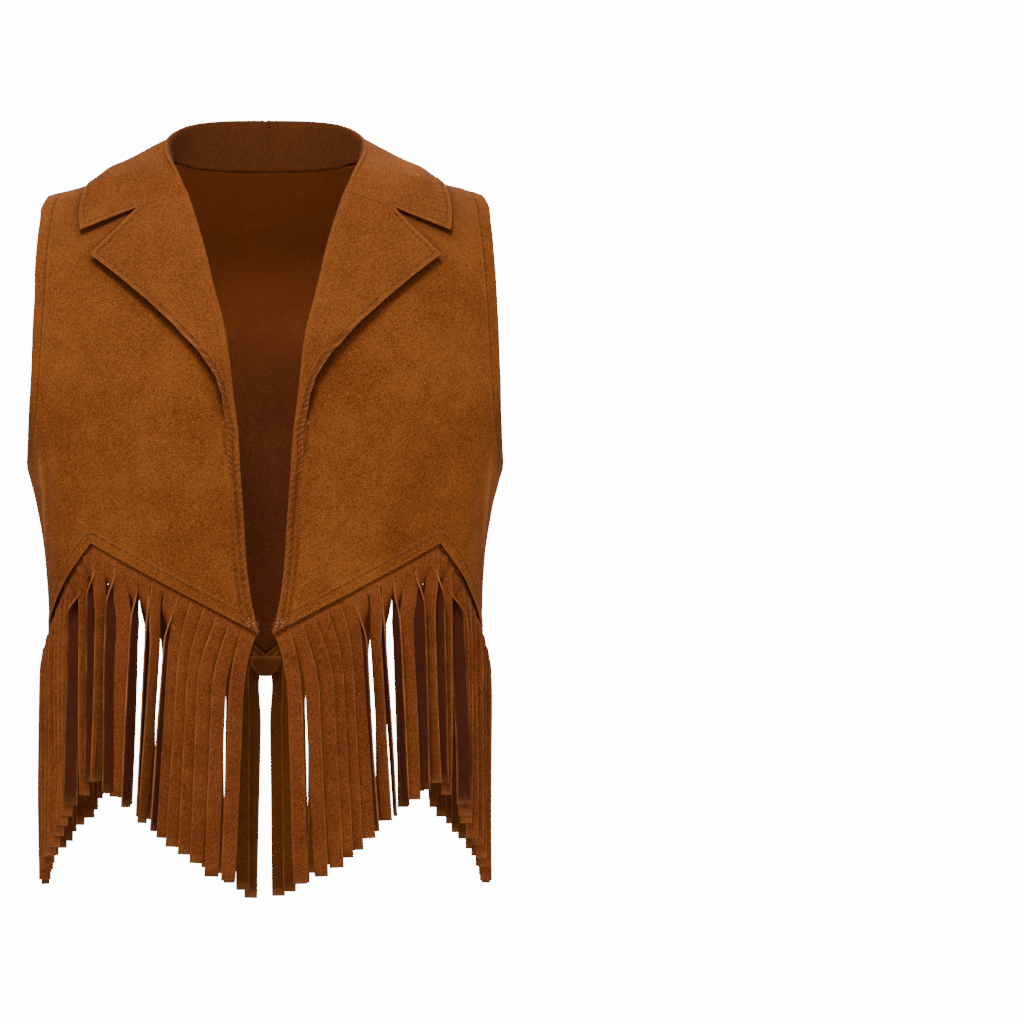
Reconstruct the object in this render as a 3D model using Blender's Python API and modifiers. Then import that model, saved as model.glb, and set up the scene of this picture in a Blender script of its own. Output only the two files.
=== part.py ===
"""Fringed western vest: two open fronts with notched lapels, one back, a folded collar
and a long fringe along a zigzag hem, filled out as if worn.

Metres, +Z up. The front faces -Y, and +X is the wearer's left. The origin lies midway
between the shoulders, at the height of the shoulder seams' middle.

The cloth's form is one family of rounded sections. A level names a section by its height
at the centre; towards the shoulder tips the sections lean down with the shoulder seam.
"""

from typing import NamedTuple

import bpy
import numpy as np

# Cloth and seams
WALL = 0.002
COLLAR_WALL = 0.0014
FRINGE_WALL = 0.0012
SEAM_HALF_GAP = 0.00025

# Shoulders
RIDGE = 0.015  # level of the shoulder seam
SHOULDER_SLOPE = 0.295
NECK_SIDE = 0.075  # half width of the neck opening at the shoulder seam
SLOPE_START = 0.078
SLOPE_SOFTNESS = 0.020
UPRIGHT_BELOW = -0.200  # level under which the sections no longer lean
BACK_NECK_DROP = 0.0075

# Hem: low points at the front tips, the side seams and the middle of the back
HEM_STRAIGHTENED = -0.240  # level above which rows no longer follow the zigzag
FRONT_TIP_LEVEL = -0.364
FRONT_APEX_LEVEL = -0.292
FRONT_APEX_X = 0.138
SIDE_HEM_LEVEL = -0.376
BACK_TIP_LEVEL = -0.391
BACK_APEX_LEVEL = -0.296
BACK_APEX_X = 0.123

# Lapels and collar
LAPEL_BREAK = -0.200  # level where the lapel starts to fold over
FOLD_INSET = 0.0028  # how far a front stops short of the fold that wraps its edge
GORGE_START = (0.0610, -0.0120)  # x, z on the roll line
NOTCH = (0.1016, -0.0256)
LAPEL_TIP = (0.1384, -0.0640)
LAPEL_ROOT_LIFT = 0.0026
LEG_START = 0.0034  # how far from the roll line the lapel lies over
ROLL_PROFILE = ((0.0, 0.0002), (0.0008, 0.0016))  # distance from the roll line, and lift
LAPEL_EDGE_LIFT = 0.0070
COLLAR_LIFT = 0.0028
FOLD_WIDTH = 0.0054
FOLD_HEIGHT = 0.0030
GORGE_HALF_GAP = 0.0003

# Fringe
HEADER_HEIGHT = 0.008
HEADER_GAP = 0.0009  # from the wall's inner face
ROOT_DROP = 0.0012
STRAND_GAP = 0.0010
STRAND_SEGMENTS = 6
FLARE_ALL = 0.002
FLARE_SIDE = 0.006
BUNCH_REACH = 0.050  # how far from an apex the strands crowd together
TURN_QUICKNESS = 3.0  # strands turn edge-on this much sooner than they straighten


class Level(NamedTuple):
    """One section: half width at the side seam or armhole edge, the depths to front and
    back, how square the section is, and how much of each depth the armhole takes."""

    level: float
    side: float
    front_depth: float
    back_depth: float
    squareness: float
    front_armhole: float
    back_armhole: float


LEVELS = (
    Level(-0.600, 0.1780, 0.094, 0.090, 2.50, 0.00, 0.00),
    Level(-0.392, 0.1736, 0.094, 0.088, 2.55, 0.00, 0.00),
    Level(-0.338, 0.1736, 0.094, 0.085, 2.60, 0.00, 0.00),
    Level(-0.306, 0.1760, 0.095, 0.085, 2.70, 0.00, 0.00),
    Level(-0.282, 0.1792, 0.097, 0.086, 2.75, 0.00, 0.00),
    Level(-0.258, 0.1836, 0.099, 0.088, 2.80, 0.00, 0.00),
    Level(-0.242, 0.1876, 0.101, 0.089, 2.85, 0.00, 0.00),
    Level(-0.226, 0.1904, 0.103, 0.090, 2.90, 0.00, 0.00),
    Level(-0.2235, 0.1903, 0.1034, 0.0902, 2.90, 0.15, 0.14),
    Level(-0.218, 0.1900, 0.1038, 0.0905, 2.90, 0.26, 0.24),
    Level(-0.210, 0.1896, 0.104, 0.091, 2.90, 0.34, 0.32),
    Level(-0.195, 0.1892, 0.104, 0.092, 2.88, 0.43, 0.40),
    Level(-0.172, 0.1887, 0.104, 0.092, 2.85, 0.50, 0.46),
    Level(-0.128, 0.1872, 0.104, 0.092, 2.75, 0.54, 0.49),
    Level(-0.081, 0.1856, 0.104, 0.092, 2.60, 0.55, 0.50),
    Level(-0.043, 0.1840, 0.104, 0.092, 2.50, 0.54, 0.50),
    Level(-0.007, 0.1808, 0.104, 0.092, 2.40, 0.52, 0.49),
    Level(0.009, 0.1782, 0.104, 0.092, 2.30, 0.50, 0.48),
    Level(0.015, 0.1744, 0.104, 0.092, 2.30, 0.50, 0.48),
)


class View(NamedTuple):
    """The front or the back of the form. fullest is the level where its depth is greatest,
    and bend is the length over which a strand turns from square to the hem to hanging.
    strands are the strands' lengths at the middle, the apex and the side, pitch is their
    spacing along the hem, and strip is a strand's width."""

    sign: float
    fullest: float
    depth: str
    armhole: str
    bend: float
    strands: tuple
    pitch: float
    strip: float


FRONT = View(
    sign=-1.0,
    fullest=-0.200,
    depth="front_depth",
    armhole="front_armhole",
    bend=0.026,
    strands=(0.203, 0.186, 0.192),
    pitch=0.0118,
    strip=0.0102,
)
BACK = View(
    sign=1.0,
    fullest=-0.120,
    depth="back_depth",
    armhole="back_armhole",
    bend=0.010,
    strands=(0.192, 0.192, 0.192),
    pitch=0.0102,
    strip=0.0088,
)


class EdgePoint(NamedTuple):
    """A front's inner edge: the roll line above the break, the front edge below it."""

    level: float
    x: float


INNER_EDGE = (
    EdgePoint(-0.376, 0.0040),
    EdgePoint(-0.364, 0.0056),
    EdgePoint(-0.338, 0.0112),
    EdgePoint(-0.306, 0.0152),
    EdgePoint(-0.266, 0.0176),
    EdgePoint(-0.234, 0.0200),
    EdgePoint(-0.202, 0.0220),
    EdgePoint(-0.178, 0.0248),
    EdgePoint(-0.154, 0.0272),
    EdgePoint(-0.122, 0.0320),
    EdgePoint(-0.090, 0.0400),
    EdgePoint(-0.050, 0.0496),
    EdgePoint(-0.017, 0.0600),
    EdgePoint(-0.010, 0.0625),
    EdgePoint(0.002, 0.0690),
    EdgePoint(0.015, NECK_SIDE),
)


class LapelRow(NamedTuple):
    """A row across the lapel: where it leaves the roll line and reaches the free edge."""

    roll_z: float
    edge_x: float
    edge_z: float


LAPEL_ROWS = (
    LapelRow(-0.206, 0.0300, -0.2050),
    LapelRow(-0.190, 0.0330, -0.1870),
    LapelRow(-0.170, 0.0385, -0.1620),
    LapelRow(-0.140, 0.0560, -0.1370),
    LapelRow(-0.105, 0.0850, -0.1075),
    LapelRow(-0.070, 0.1110, -0.0850),
    LapelRow(-0.038, 0.1300, -0.0700),
    LapelRow(GORGE_START[1], *LAPEL_TIP),
)


class CollarStation(NamedTuple):
    """A section of the collar's wearer-left half, from the middle of the back forward.
    neck is its share of the way along the neck seam; fold and edge are points."""

    neck: float
    fold: tuple
    edge: tuple


COLLAR_STATIONS = (
    CollarStation(0.00, (0.0000, 0.0365, 0.0475), (0.0000, 0.0475, 0.0040)),
    CollarStation(0.19, (0.0260, 0.0350, 0.0471), (0.0450, 0.0470, 0.0020)),
    CollarStation(0.36, (0.0500, 0.0280, 0.0449), (0.0880, 0.0400, -0.0010)),
    CollarStation(0.49, (0.0660, 0.0160, 0.0398), (0.1200, 0.0230, -0.0015)),
    CollarStation(0.61, (0.0765, 0.0000, 0.0310), (0.1390, 0.0010, -0.0010)),
    CollarStation(0.76, (0.0755, -0.0200, 0.0190), (0.1455, -0.0200, -0.0110)),
    CollarStation(0.89, (0.0685, -0.0400, 0.0050), (0.1480, -0.0330, -0.0260)),
    CollarStation(1.00, (0.0610, -0.0530, -0.0120), (0.1464, -0.0470, -0.0440)),
)


def smooth(at, positions, values):
    """A smooth curve through rising positions, read at any place."""
    positions = np.asarray(positions, float)
    values = np.asarray(values, float)
    slopes = np.gradient(values, positions)
    at = np.clip(np.asarray(at, float), positions[0], positions[-1])
    low = np.clip(np.searchsorted(positions, at) - 1, 0, len(positions) - 2)
    span = positions[low + 1] - positions[low]
    t = (at - positions[low]) / span
    rise = values[low + 1] - values[low]
    start_bend = slopes[low] * span - rise
    end_bend = rise - slopes[low + 1] * span
    return values[low] + rise * t + t * (1 - t) * ((1 - t) * start_bend + t * end_bend)


def smooth_point(at, positions, points):
    """A point on the smooth curve through a row of points."""
    return np.array([smooth(at, positions, axis) for axis in np.transpose(points)])


def column(name, level):
    """One column of the section table, read at a level."""
    levels = [row.level for row in LEVELS]
    return smooth(level, levels, [getattr(row, name) for row in LEVELS])


def lean(level):
    """How much of the shoulder slope a section takes: none low down, all at the seam."""
    return np.clip((level - UPRIGHT_BELOW) / (RIDGE - UPRIGHT_BELOW), 0, 1)


def beyond_neck(x):
    past = np.abs(x) - SLOPE_START
    return (past + np.hypot(past, SLOPE_SOFTNESS)) / 2


def depth_of(view, level):
    rise = np.clip((level - view.fullest) / (RIDGE - view.fullest), 0, 1)
    return column(view.depth, level) * np.sqrt(1 - rise**2)


def widest(view, level):
    """The section's own half width, past which the armhole cuts the cloth off, and the
    turn at which the cloth ends."""
    square = column("squareness", level)
    reach = 1 - np.clip(column(view.armhole, level), 0, 1) ** square
    return column("side", level) / reach ** (1 / square), np.arcsin(np.sqrt(reach))


def torso(view, across, level):
    """A point of the cloth's outer face. across is 0 at the centre line and 1 (or -1) at
    the side seam or the armhole's edge."""
    across, level = np.broadcast_arrays(np.asarray(across, float), np.asarray(level, float))
    square = column("squareness", level)
    half_width, last_turn = widest(view, level)
    turn = np.abs(across) * last_turn
    x = np.sign(across) * half_width * np.sin(turn) ** (2 / square)
    y = view.sign * depth_of(view, level) * np.clip(np.cos(turn), 0, 1) ** (2 / square)
    z = level - SHOULDER_SLOPE * lean(level) * beyond_neck(x)
    return np.stack([x, y + view.sign * SEAM_HALF_GAP, z], axis=-1)


def across_at(view, x, level):
    """The place across a section whose distance from the centre plane is x."""
    half_width, last_turn = widest(view, level)
    square = column("squareness", level)
    share = np.clip(np.abs(x) / half_width, 0, 1) ** (square / 2)
    return np.sign(x) * np.clip(np.arcsin(np.clip(share, 0, 1)) / last_turn, 0, 1)


def level_at(x, z):
    """The level of the section that passes through x and z."""
    level = np.asarray(z, float)
    for _ in range(12):
        level = z + SHOULDER_SLOPE * lean(level) * beyond_neck(x)
    return np.minimum(level, RIDGE)


def outward(view, across, level):
    """The cloth's outward direction."""
    step = 0.002
    along = torso(view, across + step, level) - torso(view, across - step, level)
    up = torso(view, across, np.minimum(level + step, RIDGE)) - torso(view, across, level - step)
    normal = np.cross(along, up) * -view.sign
    return normal / np.linalg.norm(normal, axis=-1, keepdims=True)


def lengths_along(points):
    """The distance to each point of a line from its first."""
    steps = np.linalg.norm(np.diff(points, axis=0), axis=1)
    return np.concatenate([[0.0], np.cumsum(steps)])


def inner_edge_x(level):
    return smooth(level, [row.level for row in INNER_EDGE], [row.x for row in INNER_EDGE])


def front_inner(level):
    """Where across a section the front panel begins. It stops short of the lapel's fold."""
    inset = FOLD_INSET * np.clip((level - LAPEL_BREAK + 0.022) / 0.012, 0, 1)
    inset = inset * np.clip((RIDGE - level) / 0.006, 0, 1)
    return across_at(FRONT, inner_edge_x(level) + inset, level)


def hem_levels(view):
    """The zigzag hem as (across, level) on a fine grid, straight in the flat cloth."""
    if view is FRONT:
        tip, apex, apex_x = FRONT_TIP_LEVEL, FRONT_APEX_LEVEL, FRONT_APEX_X
        start = across_at(FRONT, inner_edge_x(tip), tip)
    else:
        tip, apex, apex_x = BACK_TIP_LEVEL, BACK_APEX_LEVEL, BACK_APEX_X
        start = 0.0
    apex_across = across_at(view, apex_x, apex)
    across = np.unique(np.concatenate([np.linspace(start, 1, 161), [apex_across]]))
    girth = lengths_along(torso(view, across, (tip + apex) / 2))
    at_apex = np.interp(apex_across, across, girth)
    level = np.interp(girth, [0, at_apex, girth[-1]], [tip, apex, SIDE_HEM_LEVEL])
    return across, level, apex_across


def row_levels(bottom, top):
    """Levels of a column's points, closer together at the armhole's foot and the seam."""
    hem_part = bottom + (HEM_STRAIGHTENED - bottom) * np.array([0, 0.12, 0.4, 0.7, 1.0])
    armhole = [-0.226, -0.2235, -0.218, -0.210, -0.195]
    turns = np.radians([8, 16, 25, 34, 43, 52, 61, 70, 79, 86, 90])
    upper = FRONT.fullest + (RIDGE - FRONT.fullest) * np.sin(turns)
    start = upper[3]
    fitted = start + (upper - start) * (top - start) / (RIDGE - start)
    upper = np.where(upper > start, fitted, upper)
    return np.concatenate([hem_part, armhole, upper])


def grid_mesh(name, points, flip=False):
    """A mesh of quads over a grid of points."""
    rows, columns = points.shape[:2]
    index = np.arange(rows * columns).reshape(rows, columns)
    quads = np.stack([index[:-1, :-1], index[:-1, 1:], index[1:, 1:], index[1:, :-1]], axis=-1)
    quads = quads.reshape(-1, 4)
    if flip:
        quads = quads[:, ::-1]
    mesh = bpy.data.meshes.new(name)
    mesh.from_pydata(points.reshape(-1, 3).tolist(), [], quads.tolist())
    return mesh


def suede(name, colour):
    material = bpy.data.materials.new(name)
    material.use_nodes = True
    shader = material.node_tree.nodes["Principled BSDF"]
    shader.inputs["Base Color"].default_value = (*colour, 1.0)
    shader.inputs["Roughness"].default_value = 0.95
    shader.inputs["Metallic"].default_value = 0.0
    return material


def add_cloth(collection, name, mesh, wall, colour):
    """A named piece of cloth: an open surface given its wall on the inner side."""
    cloth = bpy.data.objects.new(name, mesh)
    collection.objects.link(cloth)
    thickness = cloth.modifiers.new("wall", "SOLIDIFY")
    thickness.thickness = wall
    thickness.offset = -1.0
    mesh.materials.append(suede(f"{name} suede", colour))
    mesh.shade_smooth()
    return cloth


def mirrored(points, side):
    """The wearer-left points, or their mirror image for the wearer's right."""
    return points * np.array([side, 1.0, 1.0])


def front_points():
    hem_across, hem_level, apex_across = hem_levels(FRONT)
    start = hem_across[0]
    apex_share = (apex_across - start) / (1 - start)
    shares = np.concatenate([np.linspace(0, apex_share, 11), np.linspace(apex_share, 1, 7)[1:]])
    columns = []
    for share in shares:
        bottom = np.interp(start + (1 - start) * share, hem_across, hem_level)
        level = row_levels(bottom, RIDGE)
        inner = front_inner(level)
        columns.append(torso(FRONT, inner + (1 - inner) * share, level))
    return np.stack(columns, axis=1)


def neck_across():
    return across_at(BACK, NECK_SIDE, RIDGE)


def back_top(across):
    """The level of the back's upper edge: the neckline, then the shoulder seam."""
    share = np.clip(np.abs(across) / neck_across(), 0, 1)
    return RIDGE - BACK_NECK_DROP * (1 - share**2)


def back_points():
    hem_across, hem_level, apex_across = hem_levels(BACK)
    neck = neck_across()
    half = np.concatenate(
        [
            np.linspace(0, neck, 5),
            np.linspace(neck, apex_across, 6)[1:],
            np.linspace(apex_across, 1, 7)[1:],
        ]
    )
    columns = []
    for across in np.concatenate([-half[:0:-1], half]):
        bottom = np.interp(abs(across), hem_across, hem_level)
        level = row_levels(bottom, back_top(across))
        columns.append(torso(BACK, across, level))
    return np.stack(columns, axis=1)


def on_front(x, z, lift):
    """A point of the wearer-left front at x and z, moved out by lift."""
    level = level_at(x, z)
    across = across_at(FRONT, x, level)
    out = outward(FRONT, across, level)
    return torso(FRONT, across, level) + out * np.asarray(lift)[..., None]


def rolled_edge(roll_z):
    """Points where the lapel turns up from the front's edge at the roll line."""
    heights = np.array([roll_z - 0.002, roll_z, roll_z + 0.002])
    x = inner_edge_x(level_at(inner_edge_x(heights), heights))
    line = on_front(x, heights, np.zeros(3))
    along = (line[2] - line[0]) / np.linalg.norm(line[2] - line[0])
    level = level_at(x[1], roll_z)
    out = outward(FRONT, across_at(FRONT, x[1], level), level)
    aside = np.cross(out, along)
    aside = aside * np.sign(aside[0]) / np.linalg.norm(aside)
    return np.array([line[1] + aside * reach + out * lift for reach, lift in ROLL_PROFILE])


def lapel_points():
    """The lapel's outer face, from the roll line to the free edge."""
    rolls = [row.roll_z for row in LAPEL_ROWS]
    rows = []
    for along in np.linspace(0, 1, 15):
        place = along * (len(LAPEL_ROWS) - 1)
        stations = np.arange(len(LAPEL_ROWS))
        roll_z = smooth(place, stations, rolls) - GORGE_HALF_GAP
        edge_x = smooth(place, stations, [row.edge_x for row in LAPEL_ROWS])
        edge_z = smooth(place, stations, [row.edge_z for row in LAPEL_ROWS])
        roll_x = inner_edge_x(level_at(inner_edge_x(roll_z), roll_z))
        share = np.array([0.0, 0.09, 0.25, 0.42, 0.6, 0.8, 1.0])
        leg_x = roll_x + LEG_START
        x = leg_x + (edge_x - leg_x) * share
        width_share = (x - roll_x) / (edge_x - roll_x)
        z = roll_z + (edge_z - roll_z) * width_share + notch_rise(width_share) * along**4
        edge_lift = LAPEL_EDGE_LIFT * min(1, 3 * along)
        rise = (edge_lift - LAPEL_ROOT_LIFT) * min(1, 4 * along)
        lift = LAPEL_ROOT_LIFT + rise * share**2
        leg = on_front(x, z, lift)
        rows.append(np.concatenate([rolled_edge(roll_z), leg]))
    return np.stack(rows, axis=0)


def notch_rise(share):
    """How far the lapel's top, the gorge seam and the notch's lower side, rises above the
    straight line from the roll line to the lapel's tip."""
    notch_share = (NOTCH[0] - GORGE_START[0]) / (LAPEL_TIP[0] - GORGE_START[0])
    height = NOTCH[1] - GORGE_START[1] - (LAPEL_TIP[1] - GORGE_START[1]) * notch_share
    return np.interp(share, [0, notch_share, 1], [0, height, 0])


def neck_seam():
    """The body's neck edge from the middle of the back to the gorge, by its share."""
    across = np.linspace(0, neck_across(), 40)
    back = torso(BACK, across, back_top(across))
    level = np.linspace(RIDGE, level_at(*GORGE_START), 40)
    front = torso(FRONT, front_inner(level), level)
    line = np.concatenate([back, front])
    return lengths_along(line) / lengths_along(line)[-1], line


def body_samples():
    """Points and outward directions over both fronts and the back, to lay cloth on."""
    across, level = np.meshgrid(np.linspace(-1, 1, 161), np.linspace(-0.12, RIDGE - 0.0002, 90))
    points, normals = [], []
    for view in (FRONT, BACK):
        points.append(torso(view, across, level).reshape(-1, 3))
        normals.append(outward(view, across, level).reshape(-1, 3))
    return np.concatenate(points), np.concatenate(normals)


def lifted_clear(points, clearance):
    """Points moved out so that none lies closer to the body than its clearance."""
    samples, normals = body_samples()
    out = points.copy()
    for _ in range(3):
        for place in np.ndindex(points.shape[:-1]):
            nearest = np.argmin(((samples - out[place]) ** 2).sum(axis=1))
            height = (out[place] - samples[nearest]) @ normals[nearest]
            if height < clearance[place]:
                out[place] += normals[nearest] * (clearance[place] - height)
    return out


def collar_section(neck, fold, edge, gorge):
    """Points across the collar: up the stand, over the fold and down the fall. gorge is
    1 at the front end, where the fall follows the gorge seam."""
    up = (fold - neck) / np.linalg.norm(fold - neck)
    away = edge - neck
    away = away - up * (away @ up)
    away = away / np.linalg.norm(away)
    stand = [neck, (neck + fold) / 2, fold - up * FOLD_HEIGHT]
    crest = [fold + away * FOLD_WIDTH * 0.27, fold + away * FOLD_WIDTH * 0.73]
    top = fold - up * FOLD_HEIGHT + away * FOLD_WIDTH
    fall = []
    for share in (0.0, 0.22, 0.45, 0.7, 0.86, 1.0):
        point = top + (edge - top) * share
        bulge = 0.0025 * np.sin(np.pi * share) * (1 - gorge)
        fall.append(point + np.array([0.0, 0.0, bulge]))
    return np.array(stand + crest + fall)


def collar_points():
    """The collar's upper face: the stand's inner side, the fold and the fall's outer side."""
    shares, line = neck_seam()
    stations = np.arange(len(COLLAR_STATIONS))
    place = np.concatenate([np.linspace(0, 5, 11), np.linspace(5, 7, 7)[1:]])
    sections = []
    for at in place:
        share = smooth(at, stations, [row.neck for row in COLLAR_STATIONS])
        neck = np.array([np.interp(share, shares, line[:, axis]) for axis in range(3)])
        inward = -np.array([neck[0], neck[1], 0.0]) / np.hypot(neck[0], neck[1])
        neck = neck + inward * (COLLAR_WALL + 0.0005) - np.array([0.0, 0.0, 0.0004])
        fold = smooth_point(at, stations, [row.fold for row in COLLAR_STATIONS])
        edge = smooth_point(at, stations, [row.edge for row in COLLAR_STATIONS])
        gorge = np.clip(at - 6, 0, 1)
        sections.append(collar_section(neck, fold, edge, gorge))
    half = np.stack(sections, axis=1)
    straighten_front_end(half)
    clearance = np.zeros(half.shape[:2])
    clearance[6:, :] = COLLAR_WALL + 0.0006
    half = lifted_clear(half, clearance)
    other = mirrored(half[:, :0:-1], -1.0)
    return np.concatenate([other, half], axis=1)


def straighten_front_end(half):
    """Lays the collar's last section along the gorge seam and the notch's upper side."""
    end = half[5:, -1]
    knots_x = [GORGE_START[0], NOTCH[0], COLLAR_STATIONS[-1].edge[0]]
    knots_z = [GORGE_START[1], NOTCH[1], COLLAR_STATIONS[-1].edge[2]]
    z = np.interp(end[:, 0], knots_x, knots_z) + 2 * GORGE_HALF_GAP
    half[5:, -1] = on_front(end[:, 0], z, np.full(len(end), COLLAR_LIFT))
    half[:5, -1, 2] = np.maximum(half[:5, -1, 2], GORGE_START[1] + 5 * GORGE_HALF_GAP)


def strand_roots(view):
    """The hem line of one half, with the distance along it and the apex's distance."""
    across, level, apex_across = hem_levels(view)
    line = torso(view, across, level)
    along = lengths_along(line)
    return across, level, along, np.interp(apex_across, across, along)


def run_of_strands(view, start, end):
    """Evenly spaced middles of the strands between two distances along the hem."""
    count = int(round((end - start) / view.pitch))
    pitch = (end - start) / count
    return start + pitch * (np.arange(count) + 0.5)


def strand_points(root, square_down, along_hem, normal, length, crowd, flare, pitch, view):
    """Left and right edges of one hanging strand, from its root down."""
    fractions = np.linspace(0, 1, STRAND_SEGMENTS + 1) ** 1.6
    distances = fractions * length
    down = np.array([0.0, 0.0, -1.0])
    fine = np.linspace(0, length, 120)
    settle = 1 - np.exp(-fine / view.bend)
    direction = square_down + (down - square_down) * settle[:, None]
    sideways = direction - down * (direction @ down)[:, None]
    direction = direction - sideways * (1 - crowd)
    direction = direction / np.linalg.norm(direction, axis=1)[:, None]
    step = length / (len(fine) - 1)
    path = np.concatenate([[np.zeros(3)], np.cumsum(direction[:-1] * step, axis=0)])
    across_hang = np.cross(down, normal)
    across_hang = across_hang * np.sign(across_hang @ along_hem)
    left, right = [], []
    for distance in distances:
        centre = root + np.array([np.interp(distance, fine, path[:, a]) for a in range(3)])
        hung = 1 - np.exp(-distance / view.bend)
        centre = centre + normal * flare * hung
        turning = 1 - np.exp(-TURN_QUICKNESS * distance / view.bend)
        tilt = np.arccos(np.clip((pitch - STRAND_GAP) / view.strip, 0.2, 1.0)) * turning
        spread = along_hem + (across_hang - along_hem) * hung
        spread = spread / np.linalg.norm(spread)
        turned = spread * np.cos(tilt) - normal * np.sin(tilt)
        left.append(centre - turned * view.strip / 2)
        right.append(centre + turned * view.strip / 2)
    return np.array(left), np.array(right)


def fringe_half(view):
    """Header and strands of one half, as lists of grid columns in order along the hem."""
    across, level, along, apex = strand_roots(view)
    ends = (0.0015, along[-1] - 0.0010)
    runs = [run_of_strands(view, ends[0], apex), run_of_strands(view, apex, ends[1])]
    middles = np.concatenate(runs)
    pitch = np.gradient(middles)

    def hem_place(distance, raise_by):
        at = np.interp(distance, along, across)
        height = np.interp(distance, along, level) + raise_by
        out = outward(view, at, height)
        return torso(view, at, height) - out * (WALL + HEADER_GAP), out

    strands, headers = [], []
    for middle, space in zip(middles, pitch):
        edge_along = [middle - view.strip / 2, middle + view.strip / 2]
        root, normal = hem_place(middle, -ROOT_DROP)
        before, _ = hem_place(middle - 0.001, -ROOT_DROP)
        after, _ = hem_place(middle + 0.001, -ROOT_DROP)
        along_hem = (after - before) / np.linalg.norm(after - before)
        square_down = np.cross(along_hem, normal)
        square_down = square_down * -np.sign(square_down[2])
        crowd = np.clip(abs(middle - apex) / BUNCH_REACH, 0.1, 1.0)
        hang_pitch = space * np.hypot(along_hem[0], along_hem[1])
        hang_pitch = hang_pitch - (0.0018 if crowd < 1 else 0.0)
        side_share = np.abs(np.interp(middle, along, across)) ** 4
        flare = FLARE_ALL + FLARE_SIDE * side_share
        length = np.interp(middle, [0, apex, along[-1]], view.strands)
        hanging = (length, crowd, flare, hang_pitch, view)
        strands.append(strand_points(root, square_down, along_hem, normal, *hanging))
        for place in edge_along:
            headers.append((hem_place(place, HEADER_HEIGHT)[0], hem_place(place, -ROOT_DROP)[0]))
    return headers, strands


def comb_mesh(name, headers, strands, flip):
    """One open surface: a header band with the strands hanging from its lower edge."""
    points, faces = [], []
    for top, bottom in headers:
        points += [top, bottom]
    for spot in range(len(headers) - 1):
        a = 2 * spot
        faces.append((a, a + 1, a + 3, a + 2))
    for number, (left, right) in enumerate(strands):
        last = (4 * number + 1, 4 * number + 3)
        for low_left, low_right in zip(left[1:], right[1:]):
            new = (len(points), len(points) + 1)
            points += [low_left, low_right]
            faces.append((last[0], new[0], new[1], last[1]))
            last = new
    if flip:
        faces = [face[::-1] for face in faces]
    mesh = bpy.data.meshes.new(name)
    mesh.from_pydata([tuple(point) for point in points], [], faces)
    return mesh


def mirrored_half(headers, strands):
    """The same half on the wearer's right, in reversed order so that it runs on."""
    flip = np.array([-1.0, 1.0, 1.0])
    headers = [(top * flip, bottom * flip) for top, bottom in headers[::-1]]
    strands = [(right * flip, left * flip) for left, right in strands[::-1]]
    return headers, strands


def make_fronts(collection):
    points = front_points()
    for side, name in ((1.0, "front_left"), (-1.0, "front_right")):
        mesh = grid_mesh(name, mirrored(points, side), flip=side < 0)
        add_cloth(collection, name, mesh, WALL, (0.305, 0.075, 0.010))


def make_back(collection):
    mesh = grid_mesh("back", back_points(), flip=True)
    add_cloth(collection, "back", mesh, WALL, (0.270, 0.065, 0.010))


def make_lapels(collection):
    points = lapel_points()
    for side, name in ((1.0, "lapel_left"), (-1.0, "lapel_right")):
        mesh = grid_mesh(name, mirrored(points, side), flip=side < 0)
        add_cloth(collection, name, mesh, COLLAR_WALL, (0.330, 0.085, 0.014))


def make_collar(collection):
    mesh = grid_mesh("collar", collar_points(), flip=False)
    add_cloth(collection, "collar", mesh, COLLAR_WALL, (0.330, 0.085, 0.014))


def make_fringes(collection):
    colour = (0.240, 0.060, 0.012)
    half = fringe_half(FRONT)
    for name, front in (("fringe_front_left", half), ("fringe_front_right", mirrored_half(*half))):
        add_cloth(collection, name, comb_mesh(name, *front, False), FRINGE_WALL, colour)
    headers, strands = fringe_half(BACK)
    more_headers, more_strands = mirrored_half(headers, strands)
    mesh = comb_mesh("fringe_back", more_headers + headers, more_strands + strands, True)
    add_cloth(collection, "fringe_back", mesh, FRINGE_WALL, colour)


def main():
    for old in list(bpy.data.objects):
        bpy.data.objects.remove(old, do_unlink=True)
    collection = bpy.data.collections.new("western vest")
    bpy.context.scene.collection.children.link(collection)
    make_fronts(collection)
    make_back(collection)
    make_lapels(collection)
    make_collar(collection)
    make_fringes(collection)


main()
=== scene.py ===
"""Looks of the fringed western vest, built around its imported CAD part.

Metres, +Z up. The front faces -Y, and +X is the wearer's left. Every piece of cloth follows
the same family of rounded sections as the CAD part, on a finer grid, with the seams,
turned bands, stitches and soft creases of the real vest laid over it.
"""

import logging
import math
from dataclasses import dataclass, field
from enum import Enum
from typing import NamedTuple, Sequence

import bpy
import numpy as np
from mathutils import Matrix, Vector, noise
from mathutils.bvhtree import BVHTree
from mathutils.kdtree import KDTree

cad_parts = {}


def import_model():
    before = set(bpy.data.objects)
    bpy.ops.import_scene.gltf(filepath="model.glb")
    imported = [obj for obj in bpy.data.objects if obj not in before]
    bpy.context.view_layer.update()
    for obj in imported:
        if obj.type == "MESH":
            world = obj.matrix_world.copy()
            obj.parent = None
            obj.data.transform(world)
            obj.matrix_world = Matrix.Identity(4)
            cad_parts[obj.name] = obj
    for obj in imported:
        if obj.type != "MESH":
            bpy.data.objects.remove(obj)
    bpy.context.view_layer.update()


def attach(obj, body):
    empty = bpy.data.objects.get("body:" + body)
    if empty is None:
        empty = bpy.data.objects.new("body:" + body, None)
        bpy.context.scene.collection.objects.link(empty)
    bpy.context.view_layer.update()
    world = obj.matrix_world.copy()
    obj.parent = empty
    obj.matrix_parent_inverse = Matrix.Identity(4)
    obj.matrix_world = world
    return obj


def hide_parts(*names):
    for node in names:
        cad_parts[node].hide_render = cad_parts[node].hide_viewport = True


Colour = tuple[float, float, float]
Material = bpy.types.Material
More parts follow.
